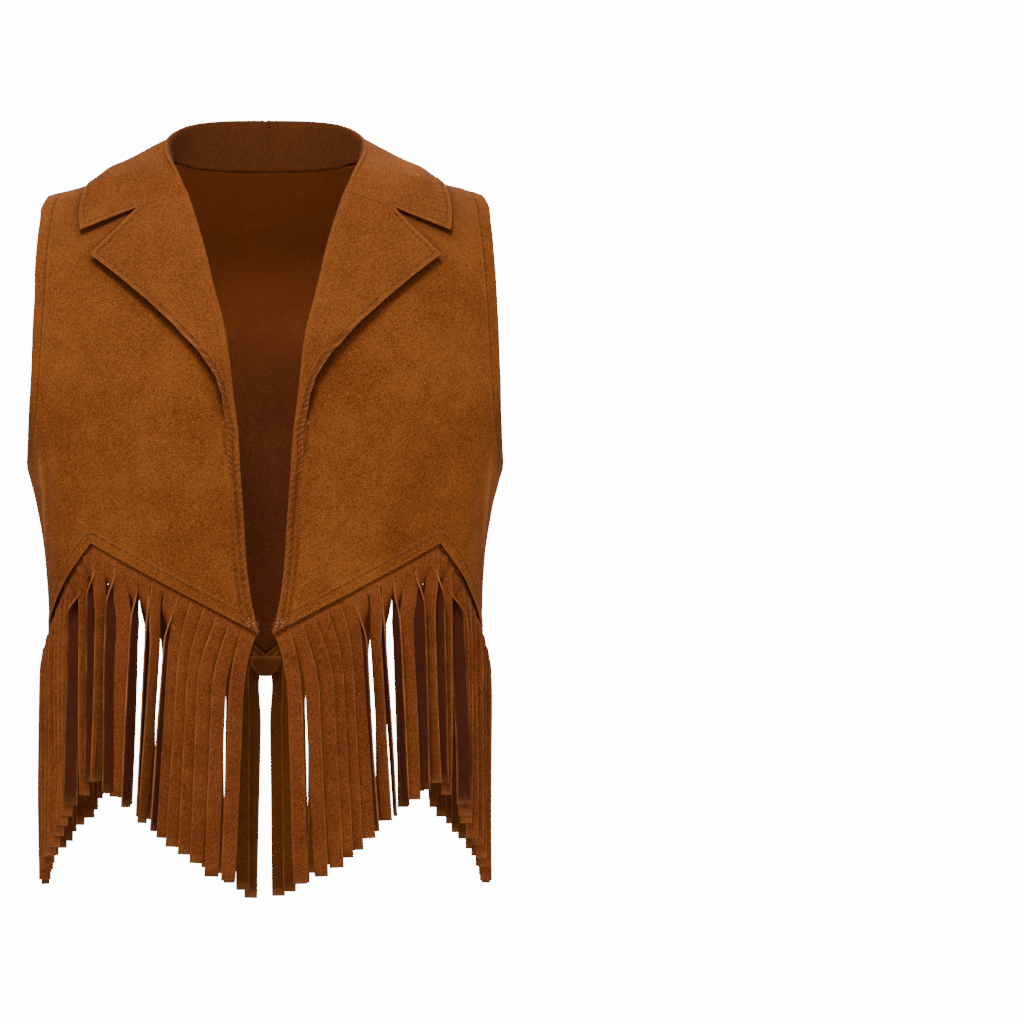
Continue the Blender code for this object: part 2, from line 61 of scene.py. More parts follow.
Node = bpy.types.Node
NodeTree = bpy.types.NodeTree
Object = bpy.types.Object
Socket = bpy.types.NodeSocket

LOG = logging.getLogger("western vest")
ROOT = "root"

# Cloth and seams
WALL = 0.002
COLLAR_WALL = 0.0014
FRINGE_WALL = 0.0012
SEAM_HALF_GAP = 0.00003

# Shoulders
RIDGE = 0.015  # level of the shoulder seam
SHOULDER_SLOPE = 0.295
NECK_SIDE = 0.075  # half width of the neck opening at the shoulder seam
SLOPE_START = 0.078
SLOPE_SOFTNESS = 0.020
UPRIGHT_BELOW = -0.200  # level under which the sections no longer lean
BACK_NECK_DROP = 0.0075

# Hem: low points at the front tips, the side seams and the middle of the back
HEM_STRAIGHTENED = -0.240  # level above which rows no longer follow the zigzag
FRONT_TIP_LEVEL = -0.364
FRONT_APEX_LEVEL = -0.292
FRONT_APEX_X = 0.138
SIDE_HEM_LEVEL = -0.376
BACK_TIP_LEVEL = -0.391
BACK_APEX_LEVEL = -0.296
BACK_APEX_X = 0.123

# Lapels and collar
LAPEL_BREAK = -0.200  # level where the lapel starts to fold over
FOLD_INSET = 0.0028  # how far a front stops short of the lapel's roll
INSET_BELOW = 0.022  # how far below the break that starts
INSET_START = 0.012  # over what height it grows
INSET_END = 0.006  # over what height it ends at the shoulder seam
GORGE_START = (0.0610, -0.0120)  # x, z on the roll line
NOTCH = (0.1016, -0.0256)
LAPEL_TIP = (0.1384, -0.0640)
LAPEL_ROOT_LIFT = 0.0026
LAPEL_FOOT_LIFT = 0.0003  # the lapel's lower end sinks into the front's edge band
LEG_START = 0.0034  # how far from the roll line the lapel lies over
LAPEL_EDGE_LIFT = 0.0070
ROLL_LIFT = 0.0002  # how far the lapel's first points lie off the front
ROLL_PROBE = 0.002  # half the height over which the roll line's direction is read
COLLAR_LIFT = 0.0028
FOLD_WIDTH = 0.0054
FOLD_HEIGHT = 0.0030
GORGE_HALF_GAP = 0.00005

# Fringe
HEADER_HEIGHT = 0.008
HEADER_GAP = 0.0009  # from the wall's inner face
ROOT_DROP = 0.0012
HEM_PROBE = 0.001  # half the length over which the hem's direction is read
RUN_START = 0.0015  # how far from the middle a half's strands start
RUN_END = 0.0010  # how far from the side seam they end
HEADER_END = 0.0008  # how far from its ends the header stops
APEX_HALF_GAP = 0.0004
LENGTH_SPREAD = 0.010  # how much the strands' lengths differ, as a share
STRAND_TAPER = 0.06
ROOT_OVERLAP = 0.004  # how far a strand reaches up into the header
ROOT_WIDTH = 1.04  # a strand's width at its root, as a share of the strands' spacing
FLARE_ALL = 0.002
FLARE_SIDE = 0.0028
EMERGE = 0.0023  # how far a strand comes out from behind the hem
FREE_BELOW = 0.004  # how far below the hem a strand starts to go its own way
SETTLED = 0.055  # how far below the hem a strand has taken its own place
TILTED = 0.018  # how far below the hem a strand lies over the next
BUNCH_REACH = 0.050  # how far from an apex the strands crowd together
SWAY = 0.0016
LOOSE_TURN = math.radians(14.0)
REVERSED_TURN = 100.0  # a strand turned further than this, in degrees, settles sooner
STRAND_STEPS = 121
RIBBON_CUP = 0.05
RIBBON_STEPS = 8

# Turned bands and stitches
HEM_BAND = 0.0085
FRONT_BAND = 0.0100
ARMHOLE_BAND = 0.0120
COLLAR_BAND = 0.0045
HEM_ROWS = (HEM_BAND - 0.0006,)
FRONT_ROWS = (0.0052, FRONT_BAND - 0.0007)
ARMHOLE_ROWS = (ARMHOLE_BAND - 0.001,)
COLLAR_ROWS = (COLLAR_BAND,)
HEM_RAISE = 0.0008
FRONT_RAISE = 0.0004
ARMHOLE_RAISE = 0.0003
COLLAR_RAISE = 0.0002
STITCH_PITCH = 0.0031
TACK_PITCH = 0.0024
STITCH_SHARE = 0.38  # half a stitch's length, as a share of the pitch
STITCH_HALF_WIDTH = 0.00032
STITCH_HALF_HEIGHT = 0.00024
STITCH_LIFT = 0.00008  # how far the thread lies off the cloth
TACK_LIFT = 0.0002
ROW_SPACING = 0.0015  # from one guide point of a row of stitches to the next
MIDDLE_ROW = 0.0026  # from the collar's middle seam to the stitches beside it
EDGE_ROUNDING = 0.0007
GROOVE_DEPTH = 0.00065
GROOVE_WIDTH = 0.0009
PUCKER_LENGTH = 0.0062
PUCKER_HEIGHT = 0.00034
PUCKER_REACH = 0.0032
ROPE_LENGTH = 0.0046
ROPE_SLANT = 0.0075
ROPE_FADE = 0.035
ROPE_REACH = (0.0042, 0.0068)  # how far from the edge the rope-like puckers fade out
ROPE_RISE = 0.0004
ROPE_TWIST = 0.00035
# painted shade in the rope-like puckers' troughs
ROPE_SHADE = 0.34
EDGE_WEAR = 0.50
BAND_WEAR = 0.22
# painted highlight on the rope-like puckers' crests
ROPE_HIGHLIGHT = 0.20
EDGE_WEAR_REACH = 0.0009
BAND_WEAR_WIDTH = 0.0011
PLAIN_SEAM_DEPTH = 0.0008
PLAIN_SEAM_REACH = 0.0013
PLAIN_SEAM_WEAR = 0.25
PLAIN_SEAM_WEAR_REACH = 0.0016
CREASE_TAPER = 0.3  # the share of a crease's length over which it starts and ends
LINE_SPACING = 0.0008  # from one sample of a line to the next
COARSE_SPACING = 0.002
TINY = 1e-12

# Levels on the panels
ARMHOLE_FOOT = -0.226
FRONT_BAND_TOP = -0.203
ROWS_TURN = -0.195  # level where a panel's rows start to close up towards the top

# Studio
PALE = 14.0  # how bright the floor and the surroundings show
AMBIENT = 0.24  # how much light they give
FLOOR_LEVEL = -0.70
LIGHTS_AIM = (0.0, 0.0, -0.25)
CAMERA_PLACE = (0.0, -13.68, -0.2672)
CAMERA_TURN = math.radians(-0.8275)
WHITE = (1.0, 1.0, 1.0, 1.0)


class Level(NamedTuple):
    """One section: half width at the side seam or armhole edge, the depths to front and
    back, how square the section is, and how much of each depth the armhole takes."""

    level: float
    side: float
    front_depth: float
    back_depth: float
    squareness: float
    front_armhole: float
    back_armhole: float


LEVELS = (
    Level(-0.600, 0.1780, 0.094, 0.090, 2.50, 0.00, 0.00),
    Level(-0.392, 0.1736, 0.094, 0.088, 2.55, 0.00, 0.00),
    Level(-0.338, 0.1736, 0.094, 0.085, 2.60, 0.00, 0.00),
    Level(-0.306, 0.1760, 0.095, 0.085, 2.70, 0.00, 0.00),
    Level(-0.282, 0.1792, 0.097, 0.086, 2.75, 0.00, 0.00),
    Level(-0.258, 0.1836, 0.099, 0.088, 2.80, 0.00, 0.00),
    Level(-0.242, 0.1876, 0.101, 0.089, 2.85, 0.00, 0.00),
    Level(-0.226, 0.1904, 0.103, 0.090, 2.90, 0.00, 0.00),
    Level(-0.2235, 0.1903, 0.1034, 0.0902, 2.90, 0.15, 0.14),
    Level(-0.218, 0.1900, 0.1038, 0.0905, 2.90, 0.26, 0.24),
    Level(-0.210, 0.1896, 0.104, 0.091, 2.90, 0.34, 0.32),
    Level(-0.195, 0.1892, 0.104, 0.092, 2.88, 0.43, 0.40),
    Level(-0.172, 0.1887, 0.104, 0.092, 2.85, 0.50, 0.46),
    Level(-0.128, 0.1872, 0.104, 0.092, 2.75, 0.54, 0.49),
    Level(-0.081, 0.1856, 0.104, 0.092, 2.60, 0.55, 0.50),
    Level(-0.043, 0.1840, 0.104, 0.092, 2.50, 0.54, 0.50),
    Level(-0.007, 0.1808, 0.104, 0.092, 2.40, 0.52, 0.49),
    Level(0.009, 0.1782, 0.104, 0.092, 2.30, 0.50, 0.48),
    Level(0.015, 0.1744, 0.104, 0.092, 2.30, 0.50, 0.48),
)


class View(NamedTuple):
    """The front or the back of the form. fullest is the level where its depth is greatest,
    and bend is the length over which a strand turns from square to the hem to hanging.
    strands are the strands' lengths at the middle, the apex and the side, pitch is their
    spacing along the hem, and strip is a strand's width. tilts are the angles in degrees
    that lay each strand over the next, at the middle, the apex and the side. leans are how
    far the strands' ends hang out at the middle, half way to the apex, there and at the
    side."""

    sign: float
    fullest: float
    depth: str
    armhole: str
    bend: float
    strands: tuple
    pitch: float
    strip: float
    tilts: tuple
    leans: tuple


FRONT = View(
    sign=-1.0,
    fullest=-0.200,
    depth="front_depth",
    armhole="front_armhole",
    bend=0.014,
    strands=(0.203, 0.186, 0.192),
    pitch=0.0118,
    strip=0.0118,
    tilts=(-9.0, -24.0, -55.0),
    leans=(0.006, 0.013, 0.004, 0.0),
)
BACK = View(
    sign=1.0,
    fullest=-0.120,
    depth="back_depth",
    armhole="back_armhole",
    bend=0.010,
    strands=(0.192, 0.192, 0.192),
    pitch=0.0102,
    strip=0.0096,
    tilts=(-10.0, -16.0, -40.0),
    leans=(0.003, 0.004, 0.002, 0.0),
)


class EdgePoint(NamedTuple):
    """A front's inner edge: the roll line above the break, the front edge below it."""

    level: float
    x: float


INNER_EDGE = (
    EdgePoint(-0.376, 0.0040),
    EdgePoint(-0.364, 0.0056),
    EdgePoint(-0.338, 0.0112),
    EdgePoint(-0.306, 0.0152),
    EdgePoint(-0.266, 0.0176),
    EdgePoint(-0.234, 0.0200),
    EdgePoint(-0.202, 0.0220),
    EdgePoint(-0.178, 0.0248),
    EdgePoint(-0.154, 0.0272),
    EdgePoint(-0.122, 0.0320),
    EdgePoint(-0.090, 0.0400),
    EdgePoint(-0.050, 0.0496),
    EdgePoint(-0.017, 0.0600),
    EdgePoint(-0.010, 0.0625),
    EdgePoint(0.002, 0.0690),
    EdgePoint(0.015, NECK_SIDE),
)


class LapelRow(NamedTuple):
    """A row across the lapel: where it leaves the roll line and reaches the free edge."""

    roll_z: float
    edge_x: float
    edge_z: float


LAPEL_ROWS = (
    LapelRow(-0.240, 0.0295, -0.2400),
    LapelRow(-0.222, 0.0300, -0.2215),
    LapelRow(-0.206, 0.0300, -0.2050),
    LapelRow(-0.190, 0.0330, -0.1870),
    LapelRow(-0.170, 0.0385, -0.1620),
    LapelRow(-0.140, 0.0560, -0.1370),
    LapelRow(-0.105, 0.0850, -0.1075),
    LapelRow(-0.070, 0.1110, -0.0850),
    LapelRow(-0.038, 0.1300, -0.0700),
    LapelRow(GORGE_START[1], *LAPEL_TIP),
)


class CollarStation(NamedTuple):
    """A section of the collar's wearer-left half, from the middle of the back forward.
    neck is its share of the way along the neck seam; fold and edge are points."""

    neck: float
    fold: tuple
    edge: tuple


COLLAR_STATIONS = (
    CollarStation(0.00, (0.0000, 0.0365, 0.0475), (0.0000, 0.0475, 0.0040)),
    CollarStation(0.19, (0.0260, 0.0350, 0.0471), (0.0450, 0.0470, 0.0020)),
    CollarStation(0.36, (0.0500, 0.0280, 0.0449), (0.0880, 0.0400, -0.0010)),
    CollarStation(0.49, (0.0660, 0.0160, 0.0398), (0.1200, 0.0230, -0.0015)),
    CollarStation(0.61, (0.0765, 0.0000, 0.0310), (0.1390, 0.0010, -0.0010)),
    CollarStation(0.76, (0.0755, -0.0200, 0.0190), (0.1455, -0.0200, -0.0110)),
    CollarStation(0.89, (0.0685, -0.0400, 0.0050), (0.1480, -0.0330, -0.0260)),
    CollarStation(1.00, (0.0610, -0.0530, -0.0120), (0.1464, -0.0470, -0.0440)),
)


class Finish(Enum):
    """The pieces' finishes; Palette.cloth picks a cloth's materials by them."""

    BODY = "suede_body"
    COLLAR = "suede_collar"
    FRINGE = "suede_fringe"
    THREAD = "thread"


# The vest's form


def smooth(at: np.ndarray, positions: Sequence[float], values: Sequence[float]) -> np.ndarray:
    """Reads a smooth curve through rising positions.

    Args:
        at: Where to read it.
        positions: The rising positions of its knots.
        values: Its values there.

    Returns:
        The curve's values at each place.
    """
    positions = np.asarray(positions, float)
    values = np.asarray(values, float)
    slopes = np.gradient(values, positions)
    at = np.clip(np.asarray(at, float), positions[0], positions[-1])
    low = np.clip(np.searchsorted(positions, at) - 1, 0, len(positions) - 2)
    span = positions[low + 1] - positions[low]
    t = (at - positions[low]) / span
    rise = values[low + 1] - values[low]
    start_bend = slopes[low] * span - rise
    end_bend = rise - slopes[low + 1] * span
    return values[low] + rise * t + t * (1 - t) * ((1 - t) * start_bend + t * end_bend)


def step(value: np.ndarray, low: float, high: float) -> np.ndarray:
    """A soft step from 0 at low to 1 at high."""
    t = np.clip((np.asarray(value, float) - low) / (high - low), 0, 1)
    return t * t * (3 - 2 * t)


def bell(value: np.ndarray, centre: float, width: float) -> np.ndarray:
    """A soft bump, 1 at the centre."""
    return np.exp(-(((np.asarray(value, float) - centre) / width) ** 2))


def column(name: str, level: np.ndarray) -> np.ndarray:
    """One column of the section table, read at a level."""
    return smooth(level, [row.level for row in LEVELS], [getattr(row, name) for row in LEVELS])


def lean(level: np.ndarray) -> np.ndarray:
    """How much of the shoulder slope a section takes: none low down, all at the seam."""
    return np.clip((level - UPRIGHT_BELOW) / (RIDGE - UPRIGHT_BELOW), 0, 1)


def beyond_neck(x: np.ndarray) -> np.ndarray:
    """How far out x lies past the neck, with a soft start."""
    past = np.abs(x) - SLOPE_START
    return (past + np.hypot(past, SLOPE_SOFTNESS)) / 2


def depth_of(view: View, level: np.ndarray) -> np.ndarray:
    """The section's depth at the centre line."""
    rise = np.clip((level - view.fullest) / (RIDGE - view.fullest), 0, 1)
    return column(view.depth, level) * np.sqrt(1 - rise**2)


def widest(view: View, level: np.ndarray) -> tuple[np.ndarray, np.ndarray]:
    """The section's own half width, past which the armhole cuts the cloth off, and the
    turn at which the cloth ends."""
    square = column("squareness", level)
    reach = 1 - np.clip(column(view.armhole, level), 0, 1) ** square
    return column("side", level) / reach ** (1 / square), np.arcsin(np.sqrt(reach))


def torso(view: View, across: np.ndarray, level: np.ndarray) -> np.ndarray:
    """Points of the cloth's outer face.

    Args:
        view: The front or the back.
        across: 0 at the centre line, 1 or -1 at the side seam or the armhole's edge.
        level: The section's height at the centre.

    Returns:
        The points, with x, y and z on the last axis.
    """
    across, level = np.broadcast_arrays(np.asarray(across, float), np.asarray(level, float))
    square = column("squareness", level)
    half_width, last_turn = widest(view, level)
    turn = np.abs(across) * last_turn
    x = np.sign(across) * half_width * np.sin(turn) ** (2 / square)
    y = view.sign * depth_of(view, level) * np.clip(np.cos(turn), 0, 1) ** (2 / square)
    z = level - SHOULDER_SLOPE * lean(level) * beyond_neck(x)
    return np.stack([x, y + view.sign * SEAM_HALF_GAP, z], axis=-1)


def across_at(view: View, x: np.ndarray, level: np.ndarray) -> np.ndarray:
    """The place across a section whose distance from the centre plane is x."""
    half_width, last_turn = widest(view, level)
    square = column("squareness", level)
    share = np.clip(np.abs(x) / half_width, 0, 1) ** (square / 2)
    return np.sign(x) * np.clip(np.arcsin(np.clip(share, 0, 1)) / last_turn, 0, 1)


def level_at(x: np.ndarray, z: np.ndarray) -> np.ndarray:
    """The level of the section that passes through x and z."""
    level = np.asarray(z, float)
    for _ in range(12):
        level = z + SHOULDER_SLOPE * lean(level) * beyond_neck(x)
    return np.minimum(level, RIDGE)


def outward(view: View, across: np.ndarray, level: np.ndarray) -> np.ndarray:
    """The cloth's outward direction."""
    reach = 0.002
    along = torso(view, across + reach, level) - torso(view, across - reach, level)
    up = torso(view, across, np.minimum(level + reach, RIDGE)) - torso(view, across, level - reach)
    normal = np.cross(along, up) * -view.sign
    return unit(normal)


def unit(vectors: np.ndarray) -> np.ndarray:
    """The directions of vectors, each of length 1."""
    return vectors / np.linalg.norm(vectors, axis=-1, keepdims=True)


def lengths_along(points: np.ndarray) -> np.ndarray:
    """The distance to each point of a line from its first."""
    steps = np.linalg.norm(np.diff(points, axis=0), axis=1)
    return np.concatenate([[0.0], np.cumsum(steps)])


def read_line(places: np.ndarray, lengths: np.ndarray, points: np.ndarray) -> np.ndarray:
    """The points at some places along a line whose own points lie at given lengths."""
    return np.stack([np.interp(places, lengths, points[:, axis]) for axis in range(3)], axis=1)


def smooth_grid(grid: np.ndarray, at: np.ndarray, axis: int) -> np.ndarray:
    """A grid read smoothly at finer places along one of its axes."""
    stations = np.arange(grid.shape[axis])
    return np.apply_along_axis(lambda values: smooth(at, stations, values), axis, grid)


def search_tree(points: np.ndarray) -> KDTree:
    """A search tree over points."""
    tree = KDTree(len(points))
    for index, point in enumerate(points):
        tree.insert(point, index)
    tree.balance()
    return tree


def inner_edge_x(level: np.ndarray) -> np.ndarray:
    """How far from the centre plane a front's inner edge lies."""
    return smooth(level, [row.level for row in INNER_EDGE], [row.x for row in INNER_EDGE])


def front_inner(level: np.ndarray) -> np.ndarray:
    """Where across a section the front panel begins. It stops short of the lapel's roll."""
    inset = FOLD_INSET * np.clip((level - LAPEL_BREAK + INSET_BELOW) / INSET_START, 0, 1)
    inset = inset * np.clip((RIDGE - level) / INSET_END, 0, 1)
    return across_at(FRONT, inner_edge_x(level) + inset, level)


def hem_levels(view: View) -> tuple[np.ndarray, np.ndarray, float]:
    """The zigzag hem as across and level on a fine grid, and where across its apex is."""
    if view is FRONT:
        tip, apex, apex_x = FRONT_TIP_LEVEL, FRONT_APEX_LEVEL, FRONT_APEX_X
        start = across_at(FRONT, inner_edge_x(tip), tip)
    else:
        tip, apex, apex_x = BACK_TIP_LEVEL, BACK_APEX_LEVEL, BACK_APEX_X
        start = 0.0
    apex_across = across_at(view, apex_x, apex)
    across = np.unique(np.concatenate([np.linspace(start, 1, 161), [apex_across]]))
    girth = lengths_along(torso(view, across, (tip + apex) / 2))
    at_apex = np.interp(apex_across, across, girth)
    level = np.interp(girth, [0, at_apex, girth[-1]], [tip, apex, SIDE_HEM_LEVEL])
    return across, level, float(apex_across)


def neck_across() -> float:
    """Where across the shoulder seam the neck opening ends."""
    return float(across_at(BACK, NECK_SIDE, RIDGE))


def back_top(across: np.ndarray) -> np.ndarray:
    """The level of the back's upper edge: the neckline, then the shoulder seam."""
    share = np.clip(np.abs(across) / neck_across(), 0, 1)
    return RIDGE - BACK_NECK_DROP * (1 - share**2)


def on_front(x: np.ndarray, z: np.ndarray, lift: np.ndarray) -> np.ndarray:
    """A point of the wearer-left front at x and z, moved out by lift."""
    level = level_at(x, z)
    across = across_at(FRONT, x, level)
    out = outward(FRONT, across, level)
    return torso(FRONT, across, level) + out * np.asarray(lift)[..., None]


def mirrored(points: np.ndarray, side: float) -> np.ndarray:
    """The wearer-left points, or their mirror image for the wearer's right."""
    return points * np.array([side, 1.0, 1.0])


# Fields over the cloth


class EdgeLine:
    """A line on the cloth that distances are measured to."""

    def __init__(self, points: np.ndarray, spacing: float = LINE_SPACING) -> None:
        """Samples the line.

        Args:
            points: The line's corners in order.
            spacing: How far apart the samples lie.
        """
        lengths = lengths_along(points)
        self.length = float(lengths[-1])
        self.places = np.linspace(0, self.length, max(2, int(self.length / spacing)))
        self.tree = search_tree(read_line(self.places, lengths, points))

    def measure(self, points: np.ndarray) -> tuple[np.ndarray, np.ndarray]:
        """Measures points against the line.

        Args:
            points: Any array of points, x y z last.

        Returns:
            The distance of each to the line, and how far along the line that is.
        """
        flat = points.reshape(-1, 3)
        distance = np.empty(len(flat))
        along = np.empty(len(flat))
        for index, point in enumerate(flat):
            _, nearest, gap = self.tree.find(point)
            distance[index] = gap
            along[index] = self.places[nearest]
        return distance.reshape(points.shape[:-1]), along.reshape(points.shape[:-1])


def swell(points: np.ndarray, length: float, seed: float) -> np.ndarray:
    """Soft random rises and falls of about -1 to 1 over points.

    Args:
        points: Where to read them.
        length: About how long one rise is, in metres.
        seed: Picks another pattern.

    Returns:
        One value for each point.
    """
    flat = points.reshape(-1, 3) / length
    values = [noise.noise(Vector((x + seed, y - seed, z + 2 * seed))) for x, y, z in flat]
    return np.array(values).reshape(points.shape[:-1])


@dataclass(frozen=True)
class Crease:
    """A soft ridge (height above 0) or trough (below 0) along a line over the cloth, given
    by the x and z of its points on the wearer's left."""

    line: tuple[tuple[float, float], ...]
    height: float
    width: float

    def over(self, view: View, points: np.ndarray, side: float) -> np.ndarray:
        """How far the crease moves each point out."""
        knots = np.array(self.line)
        stations = np.arange(len(knots))
        at = np.linspace(0, stations[-1], 40)
        x, z = (smooth(at, stations, knots[:, axis]) for axis in range(2))
        level = level_at(x, z)
        line = mirrored(torso(view, across_at(view, x, level), level), side)
        edge = EdgeLine(line, COARSE_SPACING)
        distance, along = edge.measure(points)
        share = along / edge.length
        taper = step(share, 0.0, CREASE_TAPER) * step(1 - share, 0.0, CREASE_TAPER)
        return self.height * taper * bell(distance, 0.0, self.width)


# the ridge beside the side seam: shaped as a crease, and given a painted highlight below
RIDGE_BESIDE_SIDE_SEAM = ((0.1824, -0.2080), (0.1760, -0.2560), (0.1744, -0.3120))
FRONT_CREASES = (
    Crease(RIDGE_BESIDE_SIDE_SEAM, 0.0016, 0.0050),
    Crease(((0.1700, -0.2100), (0.1600, -0.2700), (0.1640, -0.3350)), 0.0030, 0.0120),
    Crease(((0.1480, -0.2000), (0.1420, -0.2450), (0.1480, -0.2900)), -0.0022, 0.0160),
    Crease(((0.0880, -0.2150), (0.0900, -0.2600), (0.0840, -0.3150)), 0.0024, 0.0200),
    Crease(((0.1120, -0.2150), (0.1180, -0.2500), (0.1150, -0.2850)), -0.0016, 0.0150),
    Crease(((0.1700, -0.2150), (0.1350, -0.1900), (0.0950, -0.1800)), 0.0018, 0.0160),
    Crease(((0.1500, -0.1000), (0.1480, -0.1500), (0.1560, -0.2000)), -0.0022, 0.0140),
    Crease(((0.0420, -0.2000), (0.0480, -0.2500), (0.0400, -0.3100)), -0.0012, 0.0170),
    Crease(((0.1300, -0.0450), (0.1400, -0.0800), (0.1420, -0.1200)), 0.0014, 0.0120),
)
# Painted light along these lines: a painted highlight on the ridge beside the side seam, and painted shade
# where the cloth turns away round the side
PAINTED_RIDGE_HIGHLIGHT = Crease(RIDGE_BESIDE_SIDE_SEAM, 0.46, 0.0032)
PAINTED_TURN_SHADE = Crease(((0.1880, -0.1650), (0.1872, -0.2050), (0.1850, -0.2420)), 0.42, 0.0042)
BACK_CREASES = (
    Crease(((0.1650, -0.2100), (0.1550, -0.2600), (0.1580, -0.3200)), 0.0028, 0.0140),
    Crease(((0.1350, -0.1950), (0.1300, -0.2350), (0.1350, -0.2800)), -0.0020, 0.0170),
    Crease(((0.0700, -0.1800), (0.0760, -0.2300), (0.0700, -0.2900)), 0.0020, 0.0220),
    Crease(((0.1650, -0.2100), (0.1250, -0.1800), (0.0800, -0.1700)), 0.0018, 0.0180),
    Crease(((0.0250, -0.2200), (0.0300, -0.2800), (0.0250, -0.3500)), -0.0016, 0.0180),
    Crease(((0.1300, -0.0300), (0.0900, -0.0450), (0.0400, -0.0450)), 0.0014, 0.0160),
)


def overhanging_edges(side: float) -> list[np.ndarray]:
    """The lines on a front right under the free edges of the lapel and the collar."""
    lapel = [(row.edge_x, row.edge_z) for row in LAPEL_ROWS[3:]]
    collar = [(row.edge[0], row.edge[2]) for row in COLLAR_STATIONS[4:]]
    lines = []
    for edge in (lapel, collar):
        corners = np.array(edge + [NOTCH])
        stations = np.arange(len(corners))
        places = np.linspace(0, stations[-1], 60)
        x, z = (np.interp(places, stations, corners[:, axis]) for axis in range(2))
        lines.append(mirrored(on_front(x, z, np.zeros(len(x))), side))
    return lines


# Meshes


@dataclass
class Surface:
    """An open grid of points, with what the materials read at each."""

    points: np.ndarray
    # wear holds real wear and painted highlights, shade holds painted shade, inside holds painted light on
    # the wrong side
    wear: np.ndarray
    shade: np.ndarray
    flip: bool = False
    inside: np.ndarray | None = None

    def faces(self) -> np.ndarray:
        """The grid's quads, facing outward."""
        rows, columns = self.points.shape[:2]
        index = np.arange(rows * columns).reshape(rows, columns)
        quads = [index[:-1, :-1], index[:-1, 1:], index[1:, 1:], index[1:, :-1]]
        quads = np.stack(quads, axis=-1).reshape(-1, 4)
        return quads[:, ::-1] if self.flip else quads

    def normals(self) -> np.ndarray:
        """Each point's outward direction."""
        down = np.gradient(self.points, axis=0)
        along = np.gradient(self.points, axis=1)
        normal = np.cross(along, down) * (-1.0 if self.flip else 1.0)
        return normal / np.maximum(np.linalg.norm(normal, axis=-1, keepdims=True), TINY)

    def tree(self) -> BVHTree:
        """A search tree over the outer face."""
        return BVHTree.FromPolygons(self.points.reshape(-1, 3).tolist(), self.faces().tolist())

    def cut(self) -> tuple[tuple[float, float], float]:
        """The flat cloth that the piece is cut from.

        Returns:
            The flat width and length, and the area of the cut.
        """
        first, second, third, fourth = np.moveaxis(self.points.reshape(-1, 3)[self.faces()], 1, 0)
        halves = [np.cross(second - first, third - first), np.cross(third - first, fourth - first)]
        area = sum(float(np.linalg.norm(half, axis=1).sum()) / 2 for half in halves)
        widths = np.linalg.norm(np.diff(self.points, axis=1), axis=2).sum(axis=1)
        heights = np.linalg.norm(np.diff(self.points, axis=0), axis=2).sum(axis=0)
        return (float(widths.max()), float(heights.max())), area


def linked(name: str, data: bpy.types.ID) -> Object:
    """Makes an object of some data and puts it in the scene."""
    obj = bpy.data.objects.new(name, data)
    bpy.context.scene.collection.objects.link(obj)
    return obj


def set_values(mesh: bpy.types.Mesh, name: str, values: np.ndarray) -> None:
    """Stores one number for each point of a mesh."""
    attribute = mesh.attributes.new(name, "FLOAT", "POINT")
    attribute.data.foreach_set("value", values.ravel().astype(np.float32))


def made_plain(obj: Object) -> Object:
    """Replaces an object's mesh by what its modifiers make of it, and removes them."""
    graph = bpy.context.evaluated_depsgraph_get()
    mesh = bpy.data.meshes.new_from_object(obj.evaluated_get(graph), depsgraph=graph)
    obj.modifiers.clear()
    obj.data = mesh
    mesh.name = obj.name
    return obj


def walled(obj: Object, wall: float) -> Object:
    """Gives an open face a wall on its inner side and makes the mesh plain. The wall takes
    the second material and the rim the third."""
    thickness = obj.modifiers.new("wall", "SOLIDIFY")
    thickness.thickness = wall
    thickness.offset = -1.0
    thickness.material_offset = 1
    thickness.material_offset_rim = 2
    obj.data.shade_smooth()
    return made_plain(obj)


def cloth_object(name: str, surface: Surface, wall: float, materials: Sequence[Material]) -> Object:
    """Makes a piece of cloth with a wall on its inner side.

    Args:
        name: The piece's name.
        surface: Its outer face.
        wall: How thick the cloth is.
        materials: The outer face's material, the inner face's and the cut rim's.

    Returns:
        The finished plain mesh.
    """
    mesh = bpy.data.meshes.new(name)
    mesh.from_pydata(surface.points.reshape(-1, 3).tolist(), [], surface.faces().tolist())
    inside = np.zeros(surface.wear.shape) if surface.inside is None else surface.inside
    # the stored values: wear with painted highlights, painted shade, and painted light on the wrong side
    for label, values in (("wear", surface.wear), ("shade", surface.shade), ("inside", inside)):
        set_values(mesh, label, values)
    for material in materials:
        mesh.materials.append(material)
    return walled(linked(name, mesh), wall)


# Nodes


def new_node(
    tree: NodeTree, kind: str, values: dict | None = None, feeds: dict | None = None, **settings: object
) -> Node:
    """Adds a node.

    Args:
        tree: Where to add it.
        kind: Its type.
        values: What its sockets hold, by their name or number.
        feeds: The sockets that feed its own, or nodes whose first socket does.
        settings: Its own settings.

    Returns:
        The node.
    """
    node = tree.nodes.new(kind)
    for name, value in settings.items():
        setattr(node, name, value)
    for socket, value in (values or {}).items():
        node.inputs[socket].default_value = value
    for socket, source in (feeds or {}).items():
        source = source.outputs[0] if isinstance(source, Node) else source
        tree.links.new(source, node.inputs[socket])
    return node


def new_material(name: str, values: dict) -> tuple[Material, NodeTree, Node]:
    """A material with values in its shader's sockets, its node tree and the shader."""
    material = bpy.data.materials.new(name)
    material.use_nodes = True
    shader = material.node_tree.nodes["Principled BSDF"]
    for socket, value in values.items():
        shader.inputs[socket].default_value = value
    return material, material.node_tree, shader


# Materials

SHADED = (0.060, 0.014, 0.003)  # painted shade: the colour that grooves, pucker troughs, the turned side, the ground under the lapel and the collar, and the collar's stand inside the neck are darkened towards
EVEN = 0.5  # the mottle's value where the colour is even
# Each layer of the mottle: its scale, detail, roughness and weight
MOTTLES = (
    (14.0, 3.0, 0.55, 0.62),
    (75.0, 3.0, 0.60, 0.26),
    (1150.0, 2.0, 0.70, 2.25),
)
GRAIN = (800.0, 3.0, 0.65)
GRAIN_DEPTH = 0.0004


